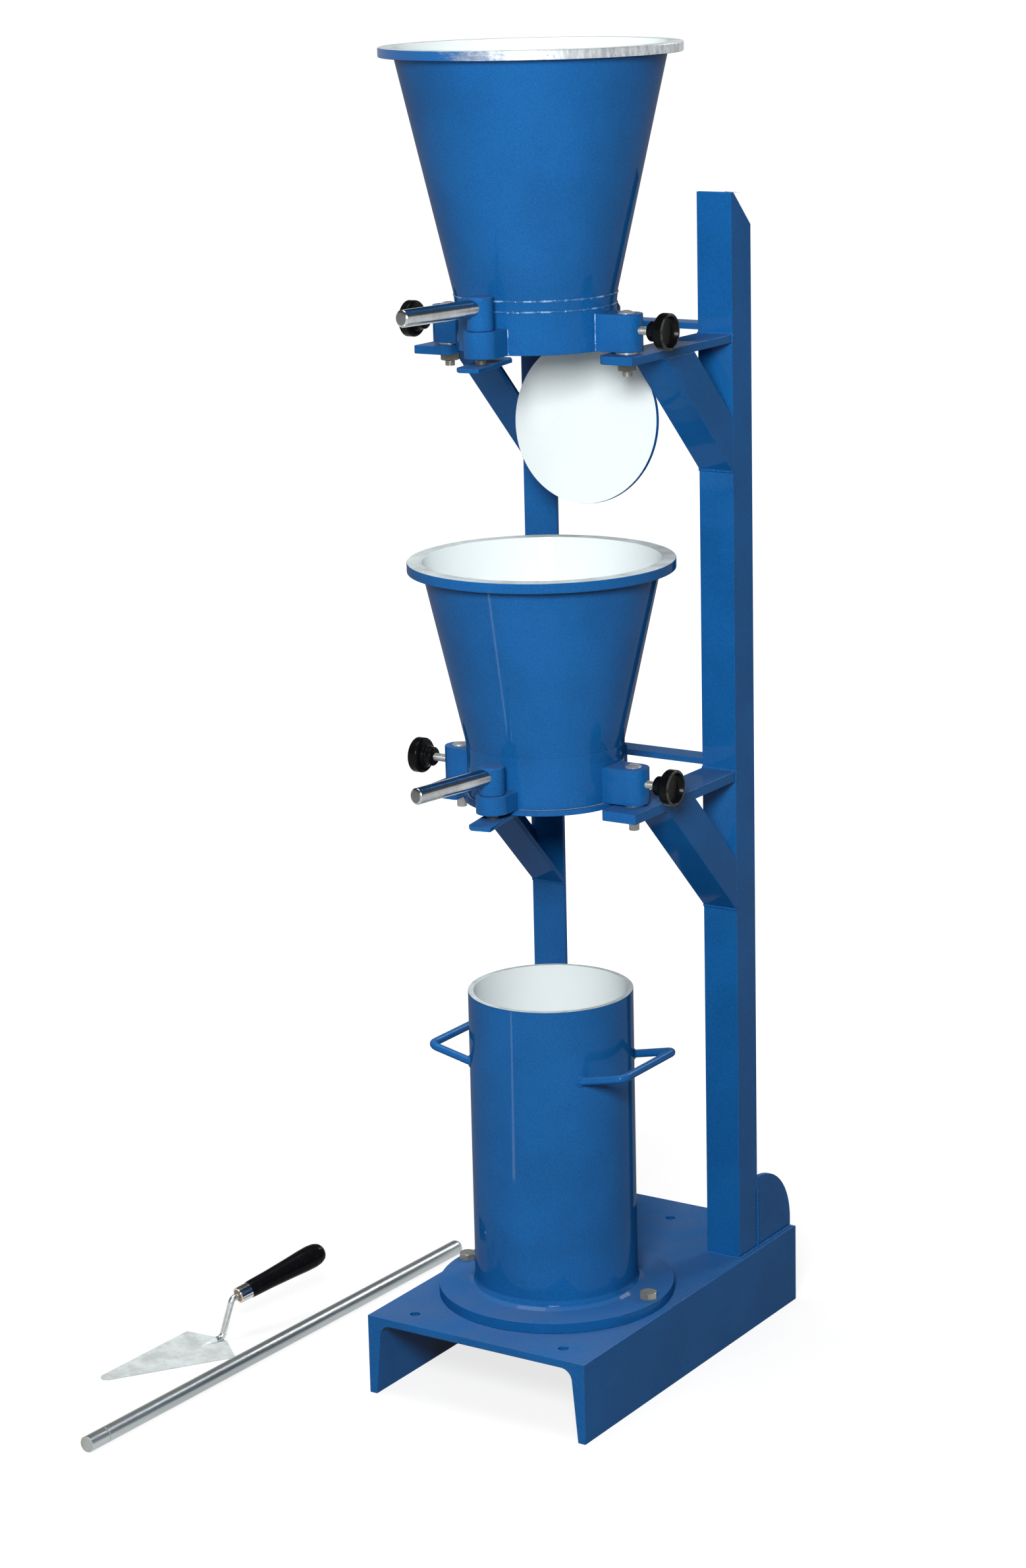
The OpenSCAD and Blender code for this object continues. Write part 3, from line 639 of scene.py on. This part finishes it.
def dome(radius, height, top, steps):
    """Points of a round cap, from its edge to its middle."""
    ball = (radius ** 2 + height ** 2) / (2 * height)
    whole = math.asin(radius / ball)
    angles = [whole * (1 - i / steps) for i in range(steps + 1)]
    return [(ball * math.sin(a), top - ball * (1 - math.cos(a)), 0, 0) for a in angles]


def hexagon(build, flats, bottom, top, hole, place):
    """A hexagon head or nut whose corners are turned down at both ends."""
    half = flats / 2
    face_r = half * FACE_SHARE

    def radius_at(point, angle):
        """The hole and the faces are round. A point beyond the flats goes to the hexagon."""
        radius, height = point
        if radius < half:
            return radius, height
        corner = half / math.cos(angle % math.radians(60) - math.radians(30))
        cut = (corner - face_r) * CORNER_SLANT
        return corner, bottom + cut if height < (bottom + top) / 2 else top - cut

    outline = [(hole, bottom), (face_r, bottom), (flats, bottom)]
    outline += [(flats, top), (face_r, top), (hole, top)]
    outline = [(Vector(point), 0) for point in outline]
    turn_round(build, outline, place, HEXAGON_TURNS, radius_at)


def copy_of(node, merge):
    """A bmesh of a CAD node, with its loose triangles joined."""
    build = bmesh.new()
    build.from_mesh(frame["nodes"][node].data)
    bmesh.ops.remove_doubles(build, verts=build.verts, dist=merge)
    return build


def rounded_bar(node):
    """A copy of a CAD node made of round bar, with smooth shading."""
    piece = new_piece(node + "_bar", copy_of(node, BAR_MERGE), [SLOTS[node]])
    return hang_on(smooth(piece), node)


def eased(node, width=EDGE):
    """A copy of a CAD node with its sharp edges rounded, which then stands for it."""
    build = copy_of(node, PLATE_MERGE)
    bmesh.ops.dissolve_limit(build, angle_limit=FLAT, verts=build.verts, edges=build.edges)
    edges = [e for e in build.edges if len(e.link_faces) == 2 and e.calc_face_angle() > SHARP]
    bmesh.ops.bevel(
        build, geom=edges, offset=width, offset_type="OFFSET", segments=EDGE_STEPS,
        profile=0.5, affect="EDGES", clamp_overlap=False, miter_outer="ARC",
    )
    bmesh.ops.triangulate(build, faces=[f for f in build.faces if len(f.verts) > 4])
    return hang_on(smooth(new_piece(node + "_eased", build, [SLOTS[node]])), node)


def darker(colour, share):
    return tuple(c * share for c in colour)


def enamel(name, colour, speckle=0.32, dust_and_sheen=0.0, painted_highlights=0.0, gloss=0.135):
    """Brushed-on enamel with a fine orange peel, paler where it faces up as dust and a painted
    sheen, and with painted highlights as pale streaks and glints.
    """
    finish = Finish(name, Roughness=0.5, Specular_IOR_Level=0.0)
    finish.set(Coat_Weight=gloss, Coat_Roughness=0.05)
    cloud = finish.noise(scale=14, detail=4).between(0.35, 0.65)
    fine = finish.noise(scale=700, detail=3, roughness=0.6).between(0.3, 0.7)
    tone = finish.mix(cloud * 0.35 + fine * 0.65, colour, darker(colour, 1 - speckle))
    # Faces that look up turn paler: dust, and a painted sheen that stands for a glossy veil
    if dust_and_sheen:
        facing = finish.node("ShaderNodeNewGeometry", out="Normal")
        up = finish.node("ShaderNodeSeparateXYZ", {}, {0: facing}, "Z").between(0.5, 0.95)
        patchy = finish.noise(scale=14, detail=4).between(0.25, 0.75) * 0.6 + 0.4
        tone = finish.mix(up * patchy * dust_and_sheen, tone, DUST_AND_SHEEN)
    # Painted highlights: pale streaks and sparse glints along the bead
    if painted_highlights:
        highlight_streak = finish.noise(scale=75, detail=4).between(0.44, 0.62) * painted_highlights + 0.1
        tone = finish.mix(highlight_streak, tone, PAINTED_HIGHLIGHT_STREAK)
        painted_glints = finish.noise(scale=300, detail=3).between(0.60, 0.66)
        tone = finish.mix(painted_glints, tone, PAINTED_GLINT)
    peel = finish.noise(scale=260, detail=2)
    finish.set(Base_Color=tone, Normal=finish.bump(peel, distance=0.0003, strength=0.25))


def metal(name, colour, roughness, spread=0.15, shine=1.0, stretch=(1, 1, 1), patches=()):
    """Bare metal with a grain, which may run one way, and patches of other colours."""
    finish = Finish(name, Metallic=shine, Specular_IOR_Level=0.15)
    grain = finish.noise(scale=420, detail=4, roughness=0.6, stretch=stretch)
    blotch = finish.noise(scale=45, detail=5, roughness=0.6, stretch=stretch)
    tone = finish.mix(blotch.between(0.35, 0.7), colour, darker(colour, 0.72))
    rough = grain * spread + roughness
    for scale, start, other in patches:
        patch = finish.noise(scale, detail=5, roughness=0.65).between(start, start + 0.08)
        tone = finish.mix(patch, tone, other)
        rough = rough + patch * 0.25
    bump = finish.bump(grain, distance=0.0001, strength=0.3)
    finish.set(Base_Color=tone, Roughness=rough, Normal=bump)


def worn_rim():
    """The upper rim's edge: paint on the left, rubbed down to bare metal round the right."""
    finish = Finish("worn_rim", Specular_IOR_Level=0.2, Coat_Weight=0.12, Coat_Roughness=0.1)
    parts = finish.node("ShaderNodeSeparateXYZ", {}, {0: finish.place})
    x, y = parts.output("X"), parts.output("Y")
    ahead = x * math.cos(RIM_START) + y * math.sin(RIM_START)
    beside = y * math.cos(RIM_START) - x * math.sin(RIM_START)
    turned = beside.math("ARCTAN2", ahead) * (180 / math.pi)
    ragged = finish.noise(scale=60, detail=5, roughness=0.7, stretch=(1, 1, 3.5))
    rubbed = ragged * BARE_RAGGED - BARE_RAGGED / 2 + turned
    bare = rubbed.between(*BARE_FROM) * (1 - turned.between(*BARE_UNTIL))
    streak = finish.noise(scale=200, detail=4, roughness=0.6, stretch=(1, 1, 0.3))
    steel = finish.mix(streak.between(0.35, 0.65), RIM_BRIGHT, RIM_DARK)
    specks = finish.noise(scale=330, detail=3, roughness=0.6).between(0.64, 0.70)
    paint = finish.mix(finish.noise(scale=900, detail=2), BLUE, darker(BLUE, 0.8))
    tone = finish.mix(bare * (1 - specks * 0.8), paint, steel)
    finish.set(Base_Color=tone, Metallic=bare * 0.5, Roughness=0.5 - bare * 0.12)
    finish.set(Normal=finish.bump(bare, distance=0.0002, strength=0.6))


def moulding(name, colour, worn=0.0):
    """Black moulded plastic or lacquer, with faint rubbed marks."""
    finish = Finish(name, Roughness=0.32, Specular_IOR_Level=0.03)
    finish.set(Coat_Weight=0.06, Coat_Roughness=0.12)
    marks = finish.noise(scale=150, detail=4, roughness=0.6, stretch=(1, 1, 0.25))
    rubbed = tuple(c * 1.6 + 0.001 for c in colour)
    tone = finish.mix(marks.between(0.5, 0.75), colour, rubbed)
    if worn:
        grey = finish.noise(scale=230, detail=3).between(0.3, 0.6) * worn
        tone = finish.mix(grey, tone, WORN_GREY)
    bump = finish.bump(finish.noise(scale=500, detail=2), distance=0.0001, strength=0.2)
    finish.set(Base_Color=tone, Normal=bump)


def timber(name):
    """The wood that shows in the ferrule's mouth."""
    finish = Finish(name, Roughness=0.7)
    grain = finish.noise(scale=300, detail=4, roughness=0.6, stretch=(1, 1, 0.2))
    finish.set(Base_Color=finish.mix(grain, PALE_WOOD, DARK_WOOD))


enamel("blue_enamel", BLUE, dust_and_sheen=0.07)
enamel("white_enamel", WHITE, speckle=0.04)
# Blue enamel with painted highlights, for the upper hopper's weld beads
enamel("bead_with_painted_highlights", BLUE, painted_highlights=0.75, gloss=0.04)
worn_rim()
metal("rim_steel", (0.68, 0.745, 0.75), 0.4, 0.2, shine=0.12)
metal("lever_chrome", (0.44, 0.46, 0.47), 0.13, 0.14)
# Painted shade: the lever's end face is steel made dark, standing for a dark reflection
metal("lever_end_painted_dark", (0.16, 0.165, 0.17), 0.25)
metal("bright_pins", (0.62, 0.64, 0.64), 0.22, 0.12, shine=0.6)
metal("dull_steel", (0.125, 0.12, 0.10), 0.38, 0.2, shine=0.7, patches=[RUST_SPOTS])
metal("stud_steel", (0.30, 0.30, 0.28), 0.25, 0.2, shine=0.8, patches=[STUD_SPOTS])
metal("screw_steel", (0.36, 0.37, 0.36), 0.32, 0.2, shine=0.7)
metal("bolt_steel", (0.30, 0.31, 0.28), 0.35, 0.2, shine=0.6, patches=[BOLT_SPOTS])
metal("rod_steel", (0.50, 0.545, 0.55), 0.24, 0.22, shine=0.9, stretch=(1, 0.06, 1))
metal("rod_end", (0.42, 0.44, 0.42), 0.4, 0.2, shine=0.5)
metal("blade_steel", (0.68, 0.73, 0.725), 0.42, 0.25, shine=0.12, patches=[BLADE_SPOTS])
metal("tang_steel", (0.64, 0.67, 0.67), 0.22)
metal("ferrule_steel", (0.68, 0.68, 0.66), 0.1, 0.1)
moulding("black_moulding", (0.003, 0.0033, 0.0036))
moulding("worn_black", (0.008, 0.009, 0.009), worn=0.25)
moulding("handle_lacquer", (0.004, 0.004, 0.005))
timber("ferrule_timber")


def dress_frame():
    """Every CAD node gets the finish of its slot."""
    for node, slot in SLOTS.items():
        mesh = frame["nodes"][node].data
        mesh.materials.clear()
        mesh.materials.append(LOOKS[slot])


def cone_radius(side, height):
    """The outside radius of a hopper's cone at a height."""
    low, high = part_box(side + "_cone")
    slope = (high.x - SHEET - MOUTH_R) / (high.z - low.z)
    return MOUTH_R + SHEET + slope * (height - low.z)


def make_hopper(side):
    """The cone, its rim ring and its collar: white inside, blue outside."""
    low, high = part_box(side + "_cone")
    rim_low, rim_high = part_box(side + "_rim")
    collar_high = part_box(side + "_collar")[1]
    bottom, top, under = low.z, high.z, rim_low.z
    outside = MOUTH_R + SHEET
    hang_on(lathe(side + "_hopper_cone", [
        (MOUTH_R, bottom, MOUTH_ROUND, 1),
        (outside, bottom, MOUTH_ROUND, 1),
        (high.x, top, CONE_TOP_ROUNDS[0], 2),
        (high.x - SHEET, top, CONE_TOP_ROUNDS[1], 0),
    ], ["white_enamel", "blue_enamel", "rim_steel"]), side + "_cone")
    edge = "worn_rim" if side == "upper" else "blue_enamel"
    hang_on(lathe(side + "_rim_ring", [
        (cone_radius(side, under), under, 0, 0),
        (rim_high.x, under, RIM_ROUND, 2),
        (rim_high.x, top, RIM_ROUND, 1),
        (high.x, top, 0, 1),
    ], ["blue_enamel", "rim_steel", edge]), side + "_rim")
    hang_on(lathe(side + "_mouth_collar", [
        (outside, bottom, 0, 0),
        (COLLAR_R, bottom, COLLAR_ROUNDS[0], 0),
        (COLLAR_R, collar_high.z - BAND_H, COLLAR_ROUNDS[1], 0),
        (collar_high.x, collar_high.z, COLLAR_ROUNDS[2], 0),
        (collar_high.x - BAND_TOP, collar_high.z, 0, 0),
    ], ["blue_enamel"]), side + "_collar")


def make_door(side, hang):
    """A round trapdoor, white on the face that shuts the mouth, that hangs open by an angle."""
    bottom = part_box(side + "_cone")[0].z
    hinge = Vector((0, HINGE_Y, bottom + HINGE_UP))
    turn = slide_by(*hinge) @ turn_by(hang, "X") @ slide_by(*-hinge)
    top = bottom - DOOR_GAP
    # The shut door's border, outside the collar, is blue
    border = 0 if side == "upper" else 1
    hang_on(lathe(side + "_round_door", [
        (0, top - DOOR_T, 0, 1),
        (DOOR_R, top - DOOR_T, DOOR_ROUNDS[0], 1),
        (DOOR_R, top, DOOR_ROUNDS[1], border),
        (COLLAR_R, top, 0, 0),
        (0, top, 0, 0),
    ], ["white_enamel", "blue_enamel"], turn), side + "_trapdoor")


def make_cylinder():
    """The tube with its bare rim, and the weld round its foot."""
    low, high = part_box("cylinder_tube")
    outside = high.x - FOOT_WELD
    bore = outside - TUBE_WALL
    hang_on(lathe("cylinder_wall", [
        (bore, low.z, 0, 1),
        (high.x, low.z, 0, 1),
        (outside + FOOT_WELD / 4, low.z + FOOT_WELD / 2, WELD_ROUND, 1),
        (outside, low.z + FOOT_WELD * FOOT_WELD_RISE, WELD_ROUND, 1),
        (outside, high.z, TUBE_ROUND, 2),
        (bore, high.z, TUBE_ROUND, 0),
    ], ["white_enamel", "blue_enamel", "rim_steel"]), "cylinder_tube")


def make_seat_pins(side):
    """The two pins that a hopper sits on: bolted to the upper arms, welded into the lower."""
    low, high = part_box(side + "_seat_pins")
    under, arm = (corner.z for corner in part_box(side + "_arm_left"))
    if side == "upper":
        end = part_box("upper_pin_nuts")[0].z + PIN_IN_NUT
        foot = [(0, end, 0, 0), (SHANK_R, end, 0, 0)]
    else:
        boss = under - BOSS_H
        foot = [(0, low.z, 0, 1), (SHANK_R, low.z, PIN_ROUND, 1), (SHANK_R, boss, 0, 2)]
        foot += [(BOSS_R, boss, BOSS_ROUND, 2), (BOSS_R, under, 0, 0), (SHANK_R, under, 0, 0)]
    outline = foot + [
        (SHANK_R, arm, 0, 0),
        (SHOULDER_R, arm, 0, 0),
        (SHOULDER_R, arm + SHOULDER_H, SHOULDER_ROUND, 0),
        (PIN_R, arm + SHOULDER_H, 0, 0),
    ]
    outline += dome(PIN_R, PIN_DOME, high.z, PIN_DOME_STEPS)
    places = [slide_by(x) for x in (-PIN_X, PIN_X)]
    looks = ["bright_pins", "stud_steel", "blue_enamel"]
    hang_on(lathe(side + "_pins", outline, looks, *places), side + "_seat_pins")


def make_pin_nuts():
    """The nuts under the upper arms, and the ends of thread that come through them."""
    low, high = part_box("upper_pin_nuts")
    build = bmesh.new()
    for x in (-PIN_X, PIN_X):
        hexagon(build, NUT_FLATS, low.z, high.z, SHANK_R, slide_by(x))
    hang_on(smooth(new_piece("pin_nuts", build, ["dull_steel"])), "upper_pin_nuts")
    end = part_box("upper_seat_pins")[0].z
    length = high.z - end - STUD_SHORT
    places = [slide_by(x, 0, end) for x in (-PIN_X, PIN_X)]
    studs = threaded("stud_threads", SHANK_R, length, STUD_PITCH, "stud_steel", places)
    ride_with(studs, "upper_seat_pins")


def make_bolts():
    """The hexagon bolts that hold the cylinder's flange down."""
    low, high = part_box("cylinder_bolts")
    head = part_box("cylinder_flange")[1].z
    shank = ease_corners([
        (0, low.z, 0, 0),
        (SHANK_R, low.z, BOLT_ROUND, 0),
        (SHANK_R, head, 0, 0),
        (0, head, 0, 0),
    ])
    build = bmesh.new()
    for x in (-BOLT_X, BOLT_X):
        hexagon(build, BOLT_FLATS, head, high.z, 0, slide_by(x))
        turn_round(build, shank, slide_by(x), BOLT_TURNS)
    hang_on(smooth(new_piece("flange_bolts", build, ["bolt_steel"])), "cylinder_bolts")


def make_thumb_screw(side, way, sign):
    """A black knob on its threaded shank."""
    node = side + "_" + way
    turn = turn_by(90 * sign, "Y")
    low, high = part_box(node + "_knob")
    middle = (low.z + high.z) / 2
    start = low.x if sign > 0 else high.x
    edge = (high.z - low.z) / 2
    outline = profile(KNOB_NECK) + profile(KNOB_HEAD, radius=edge) + profile(KNOB_DISH)
    looks = ["black_moulding", "worn_black"]
    place = slide_by(start, 0, middle) @ turn
    hang_on(lathe(node + "_black_knob", outline, looks, place), node + "_knob")
    low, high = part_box(node + "_screw")
    tip = low.x if sign > 0 else high.x
    places = [slide_by(tip, 0, middle) @ turn]
    length = high.x - low.x
    screw = threaded(node + "_thread", SCREW_R, length, SCREW_PITCH, "screw_steel", places)
    hang_on(screw, node + "_screw")


def make_latch(side):
    """The shaft, hub and lever that turn in a hopper's latch lug."""
    place = slide_by(0, LATCH_Y)
    low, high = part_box(side + "_latch_hub")
    hang_on(lathe(side + "_hub", [
        (0, low.z, 0, 0),
        (HUB_R, low.z, HUB_ROUNDS[0], 0),
        (HUB_R, high.z, HUB_ROUNDS[1], 0),
        (0, high.z, 0, 0),
    ], ["blue_enamel"], place), side + "_latch_hub")
    low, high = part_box(side + "_latch_shaft")
    hang_on(lathe(side + "_shaft", [
        (0, low.z, 0, 0),
        (SHAFT_R, low.z, 0, 0),
        (SHAFT_R, high.z, 0, 0),
        (0, high.z, 0, 0),
    ], ["dull_steel"], place), side + "_latch_shaft")
    low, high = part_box(side + "_latch_lever")
    level = (low.z + high.z) / 2
    along = slide_by(0, LATCH_Y, level) @ turn_by(-LEVER_TURN, "Z") @ turn_by(90, "X")
    outline = [(0, LEVER_IN, 0, 0), (LEVER_R, LEVER_IN, 0, 0)]
    outline += profile(LEVER_END, LEVER_R, LEVER_LEN) + [(0, LEVER_LEN, 0, 1)]
    # The lever's end face takes the painted-dark steel, a painted dark reflection
    looks = ["lever_chrome", "lever_end_painted_dark"]
    hang_on(lathe(side + "_lever", outline, looks, along), side + "_latch_lever")


def make_hinge_pin(side):
    node = side + "_hinge_pin"
    low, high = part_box(node)
    place = slide_by(low.x, (low.y + high.y) / 2, (low.z + high.z) / 2) @ turn_by(90, "Y")
    length = high.x - low.x
    hang_on(lathe(side + "_pin", [
        (0, 0, 0, 0),
        (HINGE_R, 0, PIN_ROUND, 0),
        (HINGE_R, length, PIN_ROUND, 0),
        (0, length, 0, 0),
    ], [SLOTS[node]], place), node)


def make_rod():
    """The tamping rod: a flat near end with a groove, and a round far end."""
    place = slide_by(*ROD_AT) @ turn_by(-ROD_TURN, "Z") @ turn_by(-90, "X")
    outline = [(0, 0, 0, 1), (ROD_R, 0, ROD_ROUND, 0)] + profile(ROD_GROOVE, ROD_R)
    outline += dome(ROD_R, ROD_DOME, ROD_LEN, ROD_DOME_STEPS)
    hang_on(lathe("round_rod", outline, ["rod_steel", "rod_end"], place), "tamping_rod")


def make_trowel():
    """The blade with its polished tang, the ferrule and the lacquered grip."""
    blade = eased("trowel_blade", BLADE_EDGE)
    blade.data.materials.append(LOOKS["tang_steel"])
    for face in blade.data.polygons:
        if face.center.z > BLADE_TOP:
            face.material_index = 1
    at_trowel = slide_by(*TROWEL_AT) @ turn_by(-TROWEL_TURN, "Z")
    root = at_trowel @ slide_by(*TANG_ROOT_AT) @ turn_by(TANG_ROOT_TILT, "X")
    ride_with(lathe("tang_root", profile(TANG_ROOT), ["blade_steel"], root), "trowel_blade")
    along = at_trowel @ slide_by(*GRIP_AT) @ turn_by(GRIP_RISE - 90, "X")
    hang_on(lathe("lacquered_grip", profile(GRIP), ["handle_lacquer"], along), "trowel_handle")
    looks = ["ferrule_steel", "ferrule_timber"]
    hang_on(lathe("ferrule_cup", profile(FERRULE), looks, along), "trowel_ferrule")


def make_thread_recipe():
    """A threaded bar that stands on the origin, closed at both ends."""
    recipe = Recipe("thread", ["Radius", "Length", "Pitch", "Depth"])
    radius, length = recipe.given("Radius"), recipe.given("Length")
    pitch, depth = recipe.given("Pitch"), recipe.given("Depth")
    steps = (length / pitch * THREAD_STEPS).math("ROUND")
    sockets = {
        "Vertices": THREAD_SIDES, "Side Segments": steps, "Radius": radius, "Depth": length,
    }
    bar = recipe.node("GeometryNodeMeshCylinder", {"fill_type": "NGON"}, sockets)
    at = recipe.node("GeometryNodeInputPosition")
    parts = recipe.node("ShaderNodeSeparateXYZ", {}, {0: at})
    x, y, z = (parts.output(n) for n in "XYZ")
    turn = y.math("ARCTAN2", x) / (2 * math.pi)
    groove = (z / pitch - turn).math("PINGPONG", 0.5) * 2 * depth
    to_end = length / 2 - z.math("ABSOLUTE")
    reach = (radius - groove).math("MINIMUM", radius - depth + to_end)
    share = reach / radius
    scale = recipe.node("ShaderNodeCombineXYZ", {}, {0: share, 1: share, 2: 1})
    lift = recipe.node("ShaderNodeCombineXYZ", {}, {2: length / 2})
    sockets = {"Geometry": bar, "Position": at.vector("MULTIPLY", scale), "Offset": lift}
    recipe.end_with(recipe.node("GeometryNodeSetPosition", {}, sockets))
    return recipe


def threaded(name, radius, length, pitch, look, places):
    """Threaded bar at one or more places, as one piece."""
    piece = add_to_scene(name, bpy.data.meshes.new(name))
    thread_recipe.make(piece, {
        "Radius": radius, "Length": length, "Pitch": pitch, "Depth": pitch * THREAD_DEPTH,
        "Paint": LOOKS[look],
    })
    build = bmesh.new()
    for place in places:
        copy = piece.data.copy()
        copy.transform(place)
        build.from_mesh(copy)
        bpy.data.meshes.remove(copy)
    build.to_mesh(piece.data)
    build.free()
    return piece


def make_bead_recipe():
    """A rippled bead of weld along the edges of a mesh."""
    recipe = Recipe("weld_bead", ["Radius", "Lumps"])
    radius = recipe.given("Radius")
    path = recipe.node("GeometryNodeMeshToCurve", {}, {"Mesh": recipe.given("Geometry")})
    sockets = {"Curve": path, "Length": radius * BEAD_STEP}
    path = recipe.node("GeometryNodeResampleCurve", {"mode": "LENGTH"}, sockets)
    along = recipe.node("GeometryNodeSplineParameter", out="Length")
    at = recipe.node("GeometryNodeInputPosition")
    sockets = {"Vector": at, "Scale": BEAD_LUMPS, "Detail": 2}
    lumps = (recipe.node("ShaderNodeTexNoise", {}, sockets) - 0.5) * recipe.given("Lumps")
    ripples = (along / radius * BEAD_RIPPLES).math("SINE") * BEAD_RIPPLE_DEPTH
    sockets = {"Resolution": BEAD_SIDES, "Radius": 1}
    ring = recipe.node("GeometryNodeCurvePrimitiveCircle", {}, sockets)
    sockets = {
        "Curve": path, "Profile Curve": ring, "Scale": radius * (ripples + lumps + 1),
        "Fill Caps": True,
    }
    recipe.end_with(recipe.node("GeometryNodeCurveToMesh", {}, sockets))
    return recipe


def beads(name, node, size, look, lines, closed=False):
    """Weld beads along lines of points, which may be closed."""
    points = []
    edges = []
    for line in lines:
        first = len(points)
        points += [tuple(point) for point in line]
        edges += [(i, i + 1) for i in range(first, len(points) - 1)]
        if closed:
            edges.append((len(points) - 1, first))
    mesh = bpy.data.meshes.new(name)
    mesh.from_pydata(points, edges, [])
    radius, lumps = size
    piece = add_to_scene(name, mesh)
    bead_recipe.make(piece, {"Radius": radius, "Lumps": lumps, "Paint": LOOKS[look]})
    return ride_with(piece, node)


def ring_of(radius, height):
    angles = [2 * math.pi * i / RING_POINTS for i in range(RING_POINTS)]
    return [(radius * math.cos(a), radius * math.sin(a), height) for a in angles]


def stand_welds():
    """Beads where the posts, arms, braces and gussets are joined."""
    post_low, post_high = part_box("post_right")
    gusset_low, gusset_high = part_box("foot_gussets")
    front, back, foot = post_low.y, post_high.y, gusset_low.z
    lines = []
    for sign in (-1, 1):
        inner, outer = post_low.x * sign, post_high.x * sign
        corners = [(inner, front), (outer, front), (outer, back)]
        lines.append([(x, y, post_low.z) for x, y in corners])
        for side in SIDES:
            low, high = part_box(side + "_arm_right")
            lines.append([(inner, front, high.z), (outer, front, high.z), (outer, front, low.z)])
            low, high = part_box(side + "_brace_right")
            lines.append([(x, front, low.z) for x in (inner, outer)])
            lines.append([(x, low.y, high.z) for x in (inner, outer)])
        gusset_back = gusset_high.y - GUSSET_BACK_SHORT
        lines.append([(outer, gusset_low.y, foot), (outer, gusset_back, foot)])
        lines.append([(outer, back, foot), (outer, back, gusset_high.z - GUSSET_TOP_SHORT)])
    beads("stand_welds", "base_channel", STAND_BEAD, "blue_enamel", lines)


def handle_welds():
    """A bead round each foot of the cylinder's handles."""
    tube_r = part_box("cylinder_tube")[1].x - FOOT_WELD
    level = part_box("cylinder_handle_right")[1].z - HANDLE_R * math.cos(HANDLE_SLOPE)
    across = Vector((0, 1, 0))
    rings = []
    for sign in (-1, 1):
        along = Vector((math.cos(HANDLE_SLOPE) * sign, 0, math.sin(HANDLE_SLOPE)))
        up = along.cross(across)
        for y in (-HANDLE_Y, HANDLE_Y):
            end = Vector((HANDLE_X * sign, y, level))
            ring = []
            for angle in (2 * math.pi * i / HANDLE_POINTS for i in range(HANDLE_POINTS)):
                out = across * math.cos(angle) + up * math.sin(angle)
                point = end + out * HANDLE_R * HANDLE_BEAD_OUT
                reach = math.sqrt(tube_r ** 2 - point.y ** 2)
                ring.append(point + along * ((reach * sign - point.x) / along.x))
            rings.append(ring)
    beads("handle_welds", "cylinder_tube", HANDLE_BEAD, "blue_enamel", rings, closed=True)


def hopper_welds(side):
    """Beads where the lugs and ears meet the collar, round its band, and under the rim."""
    node = side + "_collar"
    low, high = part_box(node)
    latch_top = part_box(side + "_latch_lug")[1].z
    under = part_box(side + "_rim")[0].z
    corners = []
    for sign in (-1, 1):
        x = math.sqrt(COLLAR_R ** 2 - SIDE_LUG_W ** 2) * sign
        corners += [(x, SIDE_LUG_W * y, SIDE_LUG_H + low.z) for y in (-1, 1)]
        y = -math.sqrt(COLLAR_R ** 2 - LATCH_LUG_W ** 2)
        corners.append((LATCH_LUG_W * sign, y, latch_top))
        for x in EAR_EDGES:
            corners.append((x * sign, math.sqrt(COLLAR_R ** 2 - x ** 2), high.z - BAND_H))
    lines = [[(x, y, low.z + LUG_BEAD_UP), (x, y, top)] for x, y, top in corners]
    # The upper hopper's lug and band beads carry painted highlights
    look = "bead_with_painted_highlights" if side == "upper" else "blue_enamel"
    beads(side + "_lug_welds", node, LUG_BEAD, look, lines)
    if side == "upper":
        rings = [ring_of(COLLAR_R, high.z - BAND_H), ring_of(high.x - BAND_TOP, high.z)]
        beads(side + "_band_welds", node, BAND_BEAD, look, rings, closed=True)
    ring = ring_of(cone_radius(side, under), under)
    beads(side + "_rim_weld", node, RIM_BEAD, "blue_enamel", [ring], closed=True)


make_camera()
make_world()
make_floor()
for name, settings in LAMPS.items():
    make_lamp(name, *settings)
make_floor_strip()
dress_frame()
for node in EASED:
    eased(node)
for node in BARS:
    rounded_bar(node)
for side in SIDES:
    make_hopper(side)
hinge = next(joint for joint in frame["joints"] if joint["name"] == "upper_door_hinge")
make_door("upper", -hinge["range_deg"][0])
make_door("lower", 0)
make_cylinder()
thread_recipe = make_thread_recipe()
bead_recipe = make_bead_recipe()
for side in SIDES:
    make_seat_pins(side)
    make_latch(side)
    make_hinge_pin(side)
    make_thumb_screw(side, "left", -1)
    make_thumb_screw(side, "right", 1)
    hopper_welds(side)
make_pin_nuts()
make_bolts()
make_rod()
make_trowel()
stand_welds()
handle_welds()

bpy.context.scene.view_settings.view_transform = "Standard"
